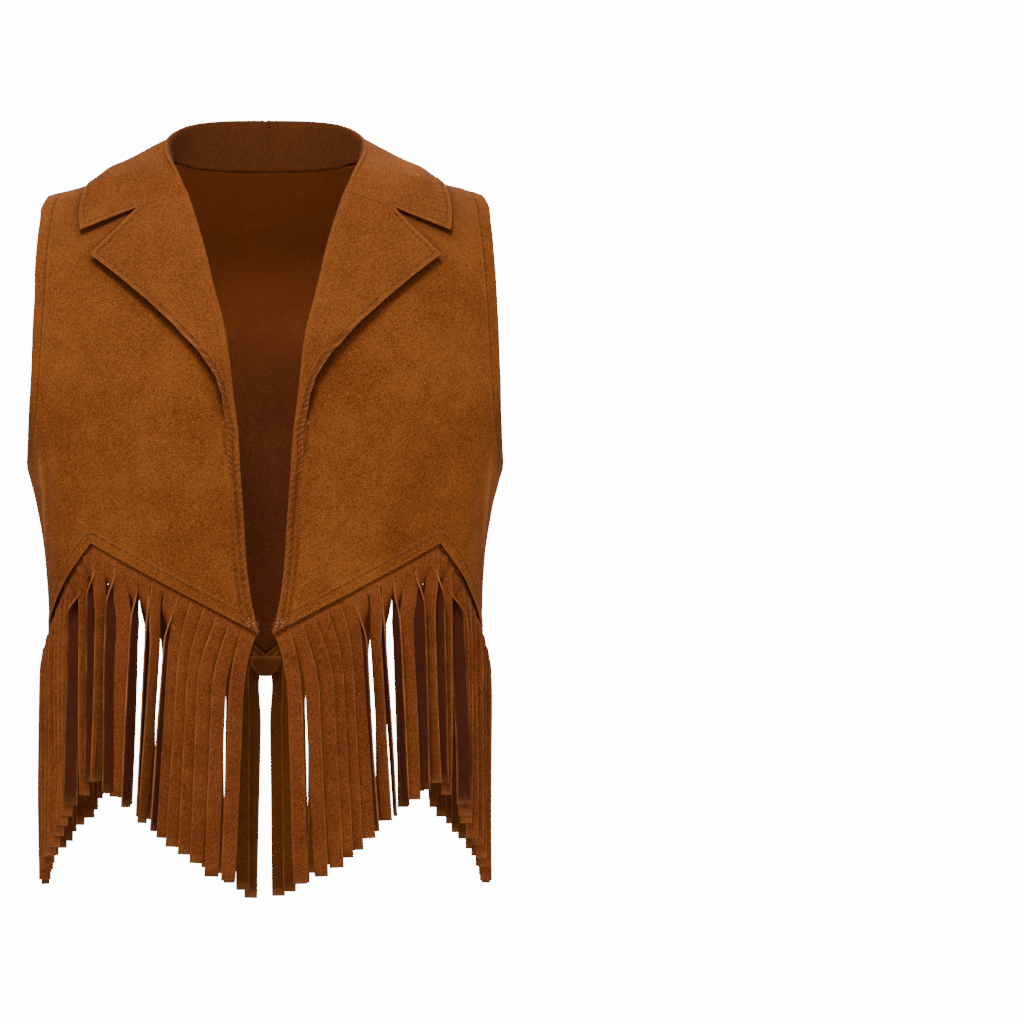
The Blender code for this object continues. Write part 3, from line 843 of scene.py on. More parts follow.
class Suede:
    """Builds the suede and thread materials from shared node groups."""

    def __init__(self) -> None:
        """Makes the shared groups."""
        self.mottle = self._mottle_group()
        self.grain = self._grain_group()

    @staticmethod
    def _group(name: str, output: str) -> tuple[NodeTree, Socket, Socket]:
        """A shader group that turns a place into one value, with the two sockets."""
        group = bpy.data.node_groups.new(name, "ShaderNodeTree")
        group.interface.new_socket("Vector", in_out="INPUT", socket_type="NodeSocketVector")
        group.interface.new_socket(output, in_out="OUTPUT", socket_type="NodeSocketFloat")
        start = group.nodes.new("NodeGroupInput")
        end = group.nodes.new("NodeGroupOutput")
        return group, start.outputs["Vector"], end.inputs[output]

    @staticmethod
    def _noise(group: NodeTree, place: Socket, scale: float, detail: float, roughness: float) -> Socket:
        """A noise's values at a place."""
        values = {"Scale": scale, "Detail": detail, "Roughness": roughness}
        return new_node(group, "ShaderNodeTexNoise", values, {"Vector": place}).outputs["Fac"]

    def _mottle_group(self) -> NodeTree:
        """Light and dark blotches where the nap lies differently: broad ones, hand-sized
        streaks and a fine speckle."""
        group, place, end = self._group("nap mottle", "Shade")
        total = None
        for *pattern, weight in MOTTLES:
            texture = self._noise(group, place, *pattern)
            centred = new_node(group, "ShaderNodeMath", {1: EVEN}, {0: texture}, operation="SUBTRACT")
            layer = new_node(group, "ShaderNodeMath", {1: weight * 2}, {0: centred}, operation="MULTIPLY")
            total = layer if total is None else new_node(group, "ShaderNodeMath", None, {0: total, 1: layer})
        shade = new_node(group, "ShaderNodeMath", {1: EVEN}, {0: total}, use_clamp=True)
        group.links.new(shade.outputs[0], end)
        return group

    def _grain_group(self) -> NodeTree:
        """The nap's fine relief."""
        group, place, end = self._group("nap grain", "Height")
        group.links.new(self._noise(group, place, *GRAIN), end)
        return group

    def material(
        self,
        name: str,
        dark: Colour,
        light: Colour,
        worn_and_highlit: Colour,
        sheen: float = 0.08,
        grain: float = 0.6,
        worn_and_highlit_where: str = "wear",
    ) -> Material:
        """A suede.

        Args:
            name: The material's name.
            dark: The colour where the nap is dark.
            light: The colour where it is light.
            worn_and_highlit: The colour where the attribute worn_and_highlit_where is 1: real wear, and
                painted highlights.
            sheen: How much its fibres catch light at a glance.
            grain: How strong the nap's relief is.
            worn_and_highlit_where: The attribute's name.

        Returns:
            The material.
        """
        surface = {
            "Roughness": 0.92,
            "Specular IOR Level": 0.15,
            "Sheen Weight": sheen,
            "Sheen Roughness": 0.45,
            "Sheen Tint": (*worn_and_highlit, 1.0),
        }
        material, tree, shader = new_material(name, surface)
        place = tree.nodes.new("ShaderNodeTexCoord").outputs["Object"]
        mottle = new_node(tree, "ShaderNodeGroup", None, {"Vector": place}, node_tree=self.mottle)
        edge = new_node(tree, "ShaderNodeAttribute", attribute_name=worn_and_highlit_where)
        # painted shade: the attribute shade darkens the colour towards SHADED
        painted_shade_mask = new_node(tree, "ShaderNodeAttribute", attribute_name="shade")
        colour = self._mix(tree, dark, light, mottle.outputs["Shade"])
        # real wear on the cut edges, and painted highlights on ridges, shoulders, rolls and puckers
        with_wear_and_highlights = self._mix(tree, colour, worn_and_highlit, edge.outputs["Fac"])
        shaded = self._mix(tree, with_wear_and_highlights, SHADED, painted_shade_mask.outputs["Fac"])
        tree.links.new(shaded, shader.inputs["Base Color"])
        relief = new_node(tree, "ShaderNodeGroup", None, {"Vector": place}, node_tree=self.grain)
        depth = {"Strength": grain, "Distance": GRAIN_DEPTH}
        bump = new_node(tree, "ShaderNodeBump", depth, {"Height": relief})
        tree.links.new(bump.outputs["Normal"], shader.inputs["Normal"])
        return material

    @staticmethod
    def _mix(tree: NodeTree, first: Colour | Socket, second: Colour, share: Socket) -> Socket:
        """A mix of two colours. Its sockets are 0 for the share, 6 and 7 for the colours,
        and 2 for what comes out."""
        mix = new_node(tree, "ShaderNodeMix", {7: (*second, 1.0)}, {0: share}, data_type="RGBA")
        if isinstance(first, tuple):
            mix.inputs[6].default_value = (*first, 1.0)
        else:
            tree.links.new(first, mix.inputs[6])
        return mix.outputs[2]

    @staticmethod
    def thread(name: str, colour: Colour) -> Material:
        """A matt sewing thread."""
        values = {"Base Color": (*colour, 1.0), "Roughness": 0.9, "Specular IOR Level": 0.1}
        return new_material(name, values)[0]


@dataclass
class Palette:
    """The finished materials."""

    suede: Suede = field(default_factory=Suede)

    def __post_init__(self) -> None:
        """Makes each material once."""
        make = self.suede.material
        # the colour of worn cut edges, also used for the painted highlights on the side ridge, the shoulders,
        # the lapels' rolls and the rope-like puckers
        worn_and_highlit = (0.500, 0.180, 0.050)
        self.body = make("suede body", (0.138, 0.028, 0.0034), (0.372, 0.107, 0.019), worn_and_highlit)
        self.collar = make("suede collar", (0.136, 0.028, 0.0034), (0.362, 0.105, 0.020), worn_and_highlit)
        # painted light: the colour that the wrong side is lightened towards at the top of the back inside
        painted_inside_light = (0.455, 0.118, 0.024)
        wrong = ((0.084, 0.0180, 0.0036), (0.172, 0.0420, 0.0110))
        self.wrong = make("suede wrong side", *wrong, painted_inside_light, 0.03, 0.3, "inside")
        self.rim = make("suede cut edge", (0.200, 0.050, 0.009), (0.380, 0.115, 0.026), worn_and_highlit, 0.1, 0.3)
        self.fringe = make("suede fringe", (0.118, 0.024, 0.0040), (0.302, 0.081, 0.0185), worn_and_highlit)
        self.reverse = make("fringe reverse", (0.058, 0.010, 0.0035), (0.092, 0.020, 0.006), worn_and_highlit, 0.02, 0.15)
        inner = ((0.105, 0.027, 0.004), (0.190, 0.055, 0.009))
        self.inner = make("back fringe reverse", *inner, worn_and_highlit, 0.03, 0.3)
        self.thread = self.suede.thread("thread", (0.085, 0.020, 0.004))
        self.tack = self.suede.thread("pale thread", (0.560, 0.300, 0.150))

    def cloth(self, finish: Finish) -> tuple[Material, ...]:
        """A cloth's three materials: face, wrong side and rim. The turned edges of the
        collar and the lapels show their face."""
        if finish is Finish.BODY:
            return self.body, self.wrong, self.wrong
        return self.collar, self.wrong, self.collar


# Geometry Nodes


@dataclass
class Guide:
    """A line with its direction off the cloth and half width at each point."""

    points: np.ndarray
    normals: np.ndarray
    half_widths: np.ndarray

    @classmethod
    def row(cls, spots: Sequence[tuple[np.ndarray, np.ndarray]]) -> "Guide":
        """A row of stitches through points that come with their directions."""
        points, normals = (np.array(part) for part in zip(*spots))
        return cls(points, normals, np.ones(len(points)))

    def mirrored(self) -> "Guide":
        """The same line on the wearer's right."""
        return Guide(mirrored(self.points, -1.0), mirrored(self.normals, -1.0), self.half_widths)


class Sewing:
    """Geometry Nodes that turn guide lines into ribbons of cloth or rows of stitches. A
    guide is a mesh of edges with a direction off the cloth and a half width at each point."""

    @staticmethod
    def guides(name: str, lines: Sequence[Guide]) -> Object:
        """Makes the guide mesh.

        Args:
            name: The finished piece's name.
            lines: The guide lines.

        Returns:
            An object of edges with the attributes face_normal and half_width.
        """
        edges = []
        start = 0
        for line in lines:
            end = start + len(line.points)
            edges += zip(range(start, end - 1), range(start + 1, end))
            start = end
        mesh = bpy.data.meshes.new(name)
        mesh.from_pydata(np.concatenate([line.points for line in lines]).tolist(), edges, [])
        normals = np.concatenate([line.normals for line in lines])
        directions = mesh.attributes.new("face_normal", "FLOAT_VECTOR", "POINT")
        directions.data.foreach_set("vector", normals.ravel().astype(np.float32))
        set_values(mesh, "half_width", np.concatenate([line.half_widths for line in lines]))
        return linked(name, mesh)

    @staticmethod
    def _tree(name: str) -> tuple[NodeTree, Node, Node]:
        """A geometry group with its guide's curve and its output node."""
        tree = bpy.data.node_groups.new(name, "GeometryNodeTree")
        for way in ("INPUT", "OUTPUT"):
            tree.interface.new_socket("Geometry", in_out=way, socket_type="NodeSocketGeometry")
        start = tree.nodes.new("NodeGroupInput")
        end = tree.nodes.new("NodeGroupOutput")
        return tree, new_node(tree, "GeometryNodeMeshToCurve", None, {"Mesh": start}), end

    @staticmethod
    def _attribute(tree: NodeTree, name: str, kind: str) -> Node:
        """A node that reads a guide's attribute."""
        return new_node(tree, "GeometryNodeInputNamedAttribute", {"Name": name}, data_type=kind)

    def ribbons(self, material: Material, cup: float) -> NodeTree:
        """A strip of cloth along each guide, with its face towards face_normal.

        Args:
            material: The strip's face.
            cup: How far the strip's middle stands out, as a share of its half width.

        Returns:
            The node group.
        """
        tree, curve, end = self._tree("ribbons")
        normal = self._attribute(tree, "face_normal", "FLOAT_VECTOR")
        feeds = {"Curve": curve, "Normal": normal}
        turned = new_node(tree, "GeometryNodeSetCurveNormal", None, feeds, mode="FREE")
        ends = {"Start": (-cup, -1.0, 0.0), "End": (-cup, 1.0, 0.0)}
        shape = {"Resolution": RIBBON_STEPS, "Middle": (cup, 0.0, 0.0), **ends}
        profile = new_node(tree, "GeometryNodeCurveQuadraticBezier", shape)
        half_width = self._attribute(tree, "half_width", "FLOAT")
        feeds = {"Curve": turned, "Profile Curve": profile, "Scale": half_width}
        strip = new_node(tree, "GeometryNodeCurveToMesh", None, feeds)
        return self._finished(tree, strip, material, end)

    def stitches(self, material: Material, pitch: float) -> NodeTree:
        """A row of stitches along each guide, each a thin grain of thread.

        Args:
            material: The thread.
            pitch: The length from one stitch to the next.

        Returns:
            The node group.
        """
        tree, curve, end = self._tree("stitches")
        feeds = {"Curve": curve}
        spaced = new_node(tree, "GeometryNodeResampleCurve", {"Length": pitch}, feeds, mode="LENGTH")
        grain = new_node(tree, "GeometryNodeMeshUVSphere", {"Segments": 6, "Rings": 4, "Radius": 1.0})
        size = (pitch * STITCH_SHARE, STITCH_HALF_WIDTH, STITCH_HALF_HEIGHT)
        shaped = new_node(tree, "GeometryNodeTransform", {"Scale": size}, {"Geometry": grain})
        tangent = tree.nodes.new("GeometryNodeInputTangent")
        normal = self._attribute(tree, "face_normal", "FLOAT_VECTOR")
        axes = {"primary_axis": "X", "secondary_axis": "Z"}
        facing = new_node(tree, "FunctionNodeAxesToRotation", None, {0: tangent, 1: normal}, **axes)
        feeds = {"Points": spaced, "Instance": shaped, "Rotation": facing}
        row = new_node(tree, "GeometryNodeInstanceOnPoints", None, feeds)
        return self._finished(tree, row, material, end)

    @staticmethod
    def _finished(tree: NodeTree, made: Node, material: Material, end: Node) -> NodeTree:
        """Ends a group in real geometry with its material."""
        real = new_node(tree, "GeometryNodeRealizeInstances", None, {0: made})
        coloured = new_node(tree, "GeometryNodeSetMaterial", {"Material": material}, {"Geometry": real})
        tree.links.new(coloured.outputs[0], end.inputs[0])
        return tree

    @staticmethod
    def grow(guide: Object, tree: NodeTree) -> Object:
        """Runs a node group on a guide and keeps the plain mesh."""
        modifier = guide.modifiers.new("grow", "NODES")
        modifier.node_group = tree
        return made_plain(guide)

    def sew(self, name: str, rows: Sequence[Guide], material: Material, pitch: float) -> Object:
        """Makes rows of stitches.

        Args:
            name: The piece's name.
            rows: The rows' guides.
            material: The thread.
            pitch: The length from one stitch to the next.

        Returns:
            The finished plain mesh.
        """
        return self.grow(self.guides(name, rows), self.stitches(material, pitch))


def nearest(tree: BVHTree, spot: np.ndarray) -> tuple[np.ndarray, np.ndarray]:
    """The cloth's point nearest to a spot, and its outward direction."""
    found, normal, _, _ = tree.find_nearest(spot)
    return np.array(found), np.array(normal)


def stitch_guide(
    surface: Surface, tree: BVHTree, line: np.ndarray, edge: np.ndarray, inset: float
) -> list[Guide]:
    """Lays a row of stitches on a surface, at an even distance inside an edge.

    Args:
        surface: The cloth.
        tree: The cloth's search tree.
        line: The part of the edge that the row follows.
        edge: The whole edge, from which the row keeps its distance.
        inset: That distance.

    Returns:
        The row, in one or more parts.
    """
    lengths = lengths_along(line)
    spots = read_line(np.arange(0, lengths[-1], ROW_SPACING), lengths, line)
    middle = surface.points.reshape(-1, 3).mean(axis=0)
    whole = EdgeLine(edge)
    parts: list[list] = [[]]
    for spot, direction in zip(spots, np.gradient(spots, axis=0)):
        _, normal = nearest(tree, spot)
        inside = np.cross(normal, direction)
        inside = inside / max(np.linalg.norm(inside), TINY)
        inside = inside * (np.sign(inside @ (middle - spot)) or 1.0)
        found, normal = nearest(tree, spot + inside * inset)
        distance, _ = whole.measure(found[None])
        if distance[0] < inset * 0.93:
            parts.append([])
        else:
            parts[-1].append((found + normal * STITCH_LIFT, normal))
    return [Guide.row(part) for part in parts if len(part) > 2]


def edge_stitches(surface: Surface, edges: Sequence[np.ndarray]) -> list[Guide]:
    """The topstitching inside the free edges of the collar or a lapel."""
    tree = surface.tree()
    rows = [stitch_guide(surface, tree, edge, np.concatenate(edges), COLLAR_BAND) for edge in edges]
    return sum(rows, [])


# The pieces


@dataclass
class Seam:
    """A stitched line inside an edge, and how it shapes the cloth."""

    edge: np.ndarray
    band: float
    raise_by: float
    rows: tuple[float, ...]
    seed: float = 0.0
    rope: float = 0.0
    rope_below: float = 1.0

    def relief(self, points: np.ndarray) -> tuple[np.ndarray, np.ndarray, np.ndarray]:
        """The band's rise with the stitches' grooves and puckers, the edge's wear with a painted
        highlight on the rope-like puckers' crests, and the painted shade of the grooves and of
        the puckers' troughs."""
        distance, along = EdgeLine(self.edge).measure(points)
        out = self.raise_by * (1 - step(distance, self.band - 0.0003, self.band + 0.0007))
        out = out - EDGE_ROUNDING * np.exp(-distance / EDGE_ROUNDING)
        beat = np.sin(2 * np.pi * (along / PUCKER_LENGTH + 0.6 * swell(points, 0.021, self.seed)))
        shade = np.zeros(distance.shape)
        for row in self.rows:
            groove = bell(distance, row, GROOVE_WIDTH)
            out = out - GROOVE_DEPTH * groove
            out = out + PUCKER_HEIGHT * beat * bell(distance, row, PUCKER_REACH)
            # painted shade in the stitch grooves
            shade = np.maximum(shade, (0.55 + 0.25 * beat) * groove)
        slant = along / ROPE_LENGTH + distance / ROPE_SLANT
        twist = np.sin(2 * np.pi * (slant + 0.5 * swell(points, 0.012, self.seed)))
        above = step(points[..., 2], self.rope_below - ROPE_FADE, self.rope_below + ROPE_FADE)
        roped = self.rope * (1 - step(distance, *ROPE_REACH)) * (1 - above)
        out = out + roped * (ROPE_RISE + ROPE_TWIST * twist)
        # painted shade in the rope's troughs
        shade = np.maximum(shade, roped * (ROPE_SHADE - ROPE_SHADE * twist))
        wear = EDGE_WEAR * np.exp(-distance / EDGE_WEAR_REACH)
        wear = wear + BAND_WEAR * bell(distance, self.band + 0.0004, BAND_WEAR_WIDTH)
        # real wear along the edge and the band, plus a painted highlight on the rope's crests
        return out, wear + ROPE_HIGHLIGHT * roped * np.clip(twist, 0, 1), shade


# How far a column's lowest points lie above the hem, in millimetres, and how far across
# a front its inner columns lie
NEAR_HEM = (0, 0.5, 1.1, 1.9, 2.9, 4.2, 5.6, 7.0, 7.9, 8.5, 9.1, 9.8, 10.8, 12.2, 14.0, 16.2)
NEAR_FRONT = (0, 0.0028, 0.0065, 0.011, 0.016, 0.022, 0.029, 0.036, 0.042, 0.048, 0.056, 0.066, 0.079)
# The tack stitches' corners: how far along the hem, and up the front's edge
TACK_ZIGZAG = ((0.0026, 0.0105), (0.0030, 0.0045), (0.0070, 0.0085), (0.0075, 0.0028), (0.0118, 0.0066))
# The height, length and pattern of each layer of the panels' soft rises
SWELLS = ((0.0016, 0.075, 1.7), (0.0007, 0.028, 4.1))
# The strength and reach of each layer of the shadow under the lapel and the collar
SHADOWS = ((0.70, 0.0040), (0.18, 0.0090))
# painted highlight on the top of the shoulders
SHOULDER_HIGHLIGHT = 0.13
SHOULDER_LEVELS = (-0.080, -0.005)
# painted shade along the side seam, where the front turns away
SIDE_SHADE = 0.6
SIDE_SHADE_REACH = 0.010
SIDE_SHADE_LEVELS = (-0.255, 0.050)  # the middle and the half height
# painted light on the wrong side, growing towards the top of the back inside
INSIDE_PAINTED_LIGHT = 0.6
INSIDE_LEVELS = (-0.19, -0.03)
# Where a panel's relief is held back, and how far it may then stand in and out: near the
# hem by the distance from it, and under the lapels and the collar by level and by x
HEM_REACH = (0.012, 0.030)
HEM_LIMITS = (-0.0003, 0.0012)
COVERED_LEVELS = (-0.215, -0.185)
COVERED_X = (0.135, 0.160)
COVERED_LIMITS = (-0.0012, 0.0003)


class Panel:
    """A front or the back: a grid over the torso with its seams and creases."""

    def __init__(self, name: str, view: View, side: float) -> None:
        """Sets the panel up.

        Args:
            name: The CAD node that it stands for.
            view: The front or the back.
            side: 1 for the wearer's left front, -1 for the right one, 1 for the back.
        """
        self.name = name
        self.view = view
        self.side = side
        self.creases = FRONT_CREASES if view is FRONT else BACK_CREASES
        self.crease_sides = (side,) if view is FRONT else (1.0, -1.0)

    @staticmethod
    def _rows(bottom: float, top: float) -> np.ndarray:
        """Levels of a column's points, closest together at the hem band and the top."""
        near = bottom + np.array(NEAR_HEM) / 1000
        share = np.linspace(0, 1, 44)[1:]
        last = NEAR_HEM[-1] / 1000
        lower = bottom + last + (HEM_STRAIGHTENED - bottom - last) * share
        armhole = np.linspace(HEM_STRAIGHTENED, ROWS_TURN, 26)[1:]
        turns = np.radians(np.linspace(2, 90, 84))
        upper = ROWS_TURN + (top - ROWS_TURN) * np.sin(turns)
        return np.concatenate([near, lower, armhole, upper])

    def _shares(self, hem_across: np.ndarray, apex: float) -> np.ndarray:
        """Where the columns lie, from 0 at the inner edge (or the middle back) to 1."""
        start = hem_across[0]
        apex_share = (apex - start) / (1 - start)
        near = NEAR_FRONT[-1]
        inner = np.array(NEAR_FRONT) if self.view is FRONT else np.linspace(0, near, 8)
        middle = np.linspace(near, apex_share, 58)[1:]
        outer = np.linspace(apex_share, 1, 52)[1:]
        outer = 1 - (1 - outer) * (1 - 0.35 * (1 - (1 - outer) / (1 - apex_share)))
        return np.concatenate([inner, middle, outer])

    def base(self) -> tuple[np.ndarray, np.ndarray]:
        """The panel's points and outward directions before its relief."""
        hem_across, hem_level, apex = hem_levels(self.view)
        shares = self._shares(hem_across, apex)
        start = hem_across[0]
        if self.view is BACK:
            shares = np.concatenate([-shares[:0:-1], shares])
        points, normals = [], []
        for share in shares:
            bottom = np.interp(start + (1 - start) * abs(share), hem_across, hem_level)
            if self.view is FRONT:
                level = self._rows(bottom, RIDGE)
                inner = front_inner(level)
                across = inner + (1 - inner) * share
            else:
                level = self._rows(bottom, float(back_top(share)))
                across = np.full(len(level), share)
            points.append(torso(self.view, across, level))
            normals.append(outward(self.view, across, level))
        return tuple(mirrored(np.stack(grid, axis=1), self.side) for grid in (points, normals))

    def seams(self, points: np.ndarray) -> list[Seam]:
        """The panel's stitched edges."""
        foot = int(np.argmax(points[:, -1, 2] > ARMHOLE_FOOT - 0.002))
        found = [
            Seam(points[0], HEM_BAND, HEM_RAISE, HEM_ROWS, 3.0),
            Seam(points[foot:, -1], ARMHOLE_BAND, ARMHOLE_RAISE, ARMHOLE_ROWS, 5.0),
        ]
        if self.view is FRONT:
            top = int(np.argmax(points[:, 0, 2] > FRONT_BAND_TOP))
            found.append(Seam(points[: top + 1, 0], FRONT_BAND, FRONT_RAISE, FRONT_ROWS, 7.0, 0.8))
        else:
            found.append(Seam(points[foot:, 0], ARMHOLE_BAND, ARMHOLE_RAISE, ARMHOLE_ROWS, 6.0))
        return found

    def surface(self) -> Surface:
        """The finished outer face."""
        points, normals = self.base()
        height = points[..., 2]
        out = sum(rise * swell(points, length, seed) for rise, length, seed in SWELLS)
        out = out * step(height, -0.4, -0.38)
        for crease in self.creases:
            for side in self.crease_sides:
                out = out + crease.over(self.view, points, side)
        out = self.settle(points, out)
        wear = np.zeros(points.shape[:2])
        shade = np.zeros(points.shape[:2])
        for seam in self.seams(points):
            moved, worn_and_highlit, shaded = seam.relief(points)
            out = out + moved
            wear = np.maximum(wear, worn_and_highlit)
            shade = np.maximum(shade, shaded)
        for line in self.plain_seams(points):
            distance, _ = EdgeLine(line).measure(points)
            out = out - PLAIN_SEAM_DEPTH * np.exp(-distance / PLAIN_SEAM_REACH)
            wear = np.maximum(wear, PLAIN_SEAM_WEAR * np.exp(-distance / PLAIN_SEAM_WEAR_REACH))
        if self.view is FRONT:
            pale, dim = self.front_shading(points)
            wear = np.maximum(wear, pale)
            shade = np.maximum(shade, dim)
        flip = (self.side < 0) != (self.view is BACK)
        # painted light on the wrong side, towards the top of the back inside
        inside = INSIDE_PAINTED_LIGHT * step(height, *INSIDE_LEVELS)
        return Surface(points + normals * out[..., None], wear, shade, flip, inside)

    def front_shading(self, points: np.ndarray) -> tuple[np.ndarray, np.ndarray]:
        """How much a front is paler and dimmer than plain suede, all of it painted light and
        shade: a painted highlight on the ridge beside the side seam, painted shade where the
        cloth turns away outside it and along the side seam, a painted highlight on the top of
        the shoulder, and a painted shadow under the lapel and the collar."""
        pale = PAINTED_RIDGE_HIGHLIGHT.over(self.view, points, self.side)
        pale = np.maximum(pale, SHOULDER_HIGHLIGHT * step(points[..., 2], *SHOULDER_LEVELS))
        side_seam, _ = EdgeLine(points[:, -1]).measure(points)
        dim = SIDE_SHADE * np.exp(-side_seam / SIDE_SHADE_REACH)
        dim = dim * bell(points[..., 2], *SIDE_SHADE_LEVELS)
        dim = np.maximum(dim, PAINTED_TURN_SHADE.over(self.view, points, self.side))
        for line in overhanging_edges(self.side):
            distance, _ = EdgeLine(line, COARSE_SPACING).measure(points)
            dim = np.maximum(dim, sum(weight * np.exp(-distance / reach) for weight, reach in SHADOWS))
        return pale, dim

    def settle(self, points: np.ndarray, out: np.ndarray) -> np.ndarray:
        """Keeps the creases from pushing the cloth into the lapels, the collar or the
        fringe's header."""
        hem_distance, _ = EdgeLine(points[0]).measure(points)
        near_hem = 1 - step(hem_distance, *HEM_REACH)
        out = out * (1 - near_hem) + np.clip(out, *HEM_LIMITS) * near_hem
        covered = step(points[..., 2], *COVERED_LEVELS) * (1 - step(np.abs(points[..., 0]), *COVERED_X))
        return out * (1 - covered) + np.clip(out, *COVERED_LIMITS) * covered

    def plain_seams(self, points: np.ndarray) -> list[np.ndarray]:
        """The side and shoulder seams, which only round the cloth down."""
        low = int(np.argmax(points[:, -1, 2] > ARMHOLE_FOOT))
        x = points[-1, :, 0]
        if self.view is FRONT:
            return [points[: low + 1, -1], points[-1, np.abs(x) > NECK_SIDE]]
        sides = [points[: low + 1, -1], points[: low + 1, 0]]
        return sides + [points[-1, x > NECK_SIDE], points[-1, x < -NECK_SIDE]]

    def tacks(self, surface: Surface) -> list[Guide]:
        """The pale tack stitches that hold a front's lower tip: a small zigzag."""
        if self.view is BACK:
            return []
        tree = surface.tree()
        corner = surface.points[0, 0]
        hem = unit(surface.points[0, 8] - corner)
        edge = unit(surface.points[8, 0] - corner)
        zigzag = np.array(TACK_ZIGZAG)
        guides = []
        for start, end in zip(zigzag[:-1], zigzag[1:]):
            spots = []
            for share in (0.0, 0.5, 1.0):
                across, up = start + (end - start) * share
                found, normal = nearest(tree, corner + hem * across + edge * up)
                spots.append((found + normal * TACK_LIFT, normal))
            guides.append(Guide.row(spots))
        return guides

    def stitches(self, surface: Surface) -> list[Guide]:
        """The panel's rows of stitches."""
        tree = surface.tree()
        points = surface.points
        rim = np.concatenate([points[:, 0][::-1], points[0], points[:, -1]])
        guides: list[Guide] = []
        for seam in self.seams(points):
            for row in seam.rows:
                guides += stitch_guide(surface, tree, seam.edge, rim, row)
        return guides


# How far the points closest to a lapel's edges lie from them
NEAR_EDGE = np.array([0, 0.5, 1.1, 1.9, 2.9, 3.8, 4.6, 5.5, 6.8])


class Lapel:
    """A lapel, rolled over from the front's edge."""

    def __init__(self, name: str, side: float) -> None:
        """Sets the lapel up.

        Args:
            name: The CAD node that it stands for.
            side: 1 for the wearer's left, -1 for the right.
        """
        self.name = name
        self.side = side

    @staticmethod
    def _notch_rise(share: np.ndarray) -> np.ndarray:
        """How far the lapel's top rises above the straight line from the roll to the tip."""
        notch_share = (NOTCH[0] - GORGE_START[0]) / (LAPEL_TIP[0] - GORGE_START[0])
        height = NOTCH[1] - GORGE_START[1] - (LAPEL_TIP[1] - GORGE_START[1]) * notch_share
        return np.interp(share, [0, notch_share, 1], [0, height, 0])

    @staticmethod
    def rolled_edge(roll_z: float, root: float) -> np.ndarray:
        """Points where the lapel turns up from the front's edge at the roll line."""
        heights = roll_z + np.array([-ROLL_PROBE, 0.0, ROLL_PROBE])
        x = inner_edge_x(level_at(inner_edge_x(heights), heights))
        line = on_front(x, heights, np.zeros(3))
        along = unit(line[2] - line[0])
        level = level_at(x[1], roll_z)
        out = outward(FRONT, across_at(FRONT, x[1], level), level)
        aside = unit(np.cross(out, along))
        aside = aside * np.sign(aside[0])
        turn = np.linspace(0, 1, 7)[:-1]
        reach = LEG_START * 0.85 * turn**1.6
        lift = ROLL_LIFT + (root - ROLL_LIFT) * (1 - (1 - turn) ** 1.8)
        return line[1] + aside * reach[:, None] + out * lift[:, None]

    def base(self) -> np.ndarray:
        """The lapel's outer face, from the roll line to the free edge."""
        last = len(LAPEL_ROWS) - 1
        near = 1 - NEAR_EDGE / 80
        share = np.concatenate([np.linspace(0, near[-1], 44)[:-1], near[::-1]])
        ends = 1 - NEAR_EDGE / 200
        spread = np.concatenate([np.linspace(0, ends[-1], 96)[:-1], ends[::-1]])
        rows = []
        for place in spread * last:
            roll_z, edge_x, edge_z = smooth_grid(np.array(LAPEL_ROWS), place, 0)
            roll_z = roll_z - GORGE_HALF_GAP
            roll_x = float(inner_edge_x(level_at(inner_edge_x(roll_z), roll_z)))
            leg_x = roll_x + LEG_START
            x = leg_x + (edge_x - leg_x) * share
            width_share = (x - roll_x) / (edge_x - roll_x)
            up = max(0.0, (place - 2) / (last - 2))
            z = roll_z + (edge_z - roll_z) * width_share + self._notch_rise(width_share) * up**4
            root = LAPEL_FOOT_LIFT + (LAPEL_ROOT_LIFT - LAPEL_FOOT_LIFT) * float(step(place, 0.3, 3.4))
            free = root + (LAPEL_EDGE_LIFT - LAPEL_ROOT_LIFT) * float(step(up, 0.0, 0.30))
            leg = on_front(x, z, root + (free - root) * share**2)
            rows.append(np.concatenate([self.rolled_edge(roll_z, root), leg]))
        return mirrored(np.stack(rows, axis=0), self.side)

    def edges(self, points: np.ndarray) -> list[np.ndarray]:
        """The free edge, from the break up to the tip, and on along the notch."""
        notch = int(np.argmax(np.abs(points[-1, :, 0]) > NOTCH[0]))
        return [points[:, -1], points[-1, notch:][::-1]]

    def surface(self) -> Surface:
        """The finished outer face."""
        points = self.base()
        nothing = np.zeros(points.shape[:2])
        surface = Surface(points, nothing, nothing, flip=self.side < 0)
        normals = surface.normals()
        free = np.concatenate(self.edges(points))
        distance, along = EdgeLine(free).measure(points)
        out = 0.0007 * swell(points, 0.050, 2.9) * step(distance, 0.0, 0.02)
        out = out + 0.0012 * np.clip(swell(points, 0.06, 9.2), -0.4, 1) * (1 - step(distance, 0.0, 0.035))
        out = out * step(np.arange(len(points)) / len(points), 0.05, 0.3)[:, None]
        seam = Seam(free, COLLAR_BAND, COLLAR_RAISE, COLLAR_ROWS, 11.0, 1.0, -0.115)
        moved, wear, surface.shade = seam.relief(points)
        surface.points = points + normals * (out + moved)[..., None]
        # painted highlight along the roll line, where the lapel turns up
        roll = np.exp(-np.arange(points.shape[1]) / 5.0)[None, :]
        surface.wear = np.maximum(wear, 0.25 * roll)
        return surface

    def stitches(self, surface: Surface) -> list[Guide]:
        """The topstitching inside the free edge."""
        return edge_stitches(surface, self.edges(surface.points))


# The collar's coarse rows: the stand ends at the first and the fall starts at the second
STAND_TOP = 2
FALL_START = 5
CLEARANCE = COLLAR_WALL + 0.0006  # how far the fall keeps off the body
FALL_SHARES = (0.0, 0.22, 0.45, 0.7, 0.86, 1.0)
FALL_BULGE = 0.0025
OUTER_BULGE = 0.0028
STAND_DROP = 0.0026
# painted shade on the collar's stand inside the neck
STAND_SHADE = 0.75
FOLD_WEAR = 0.22


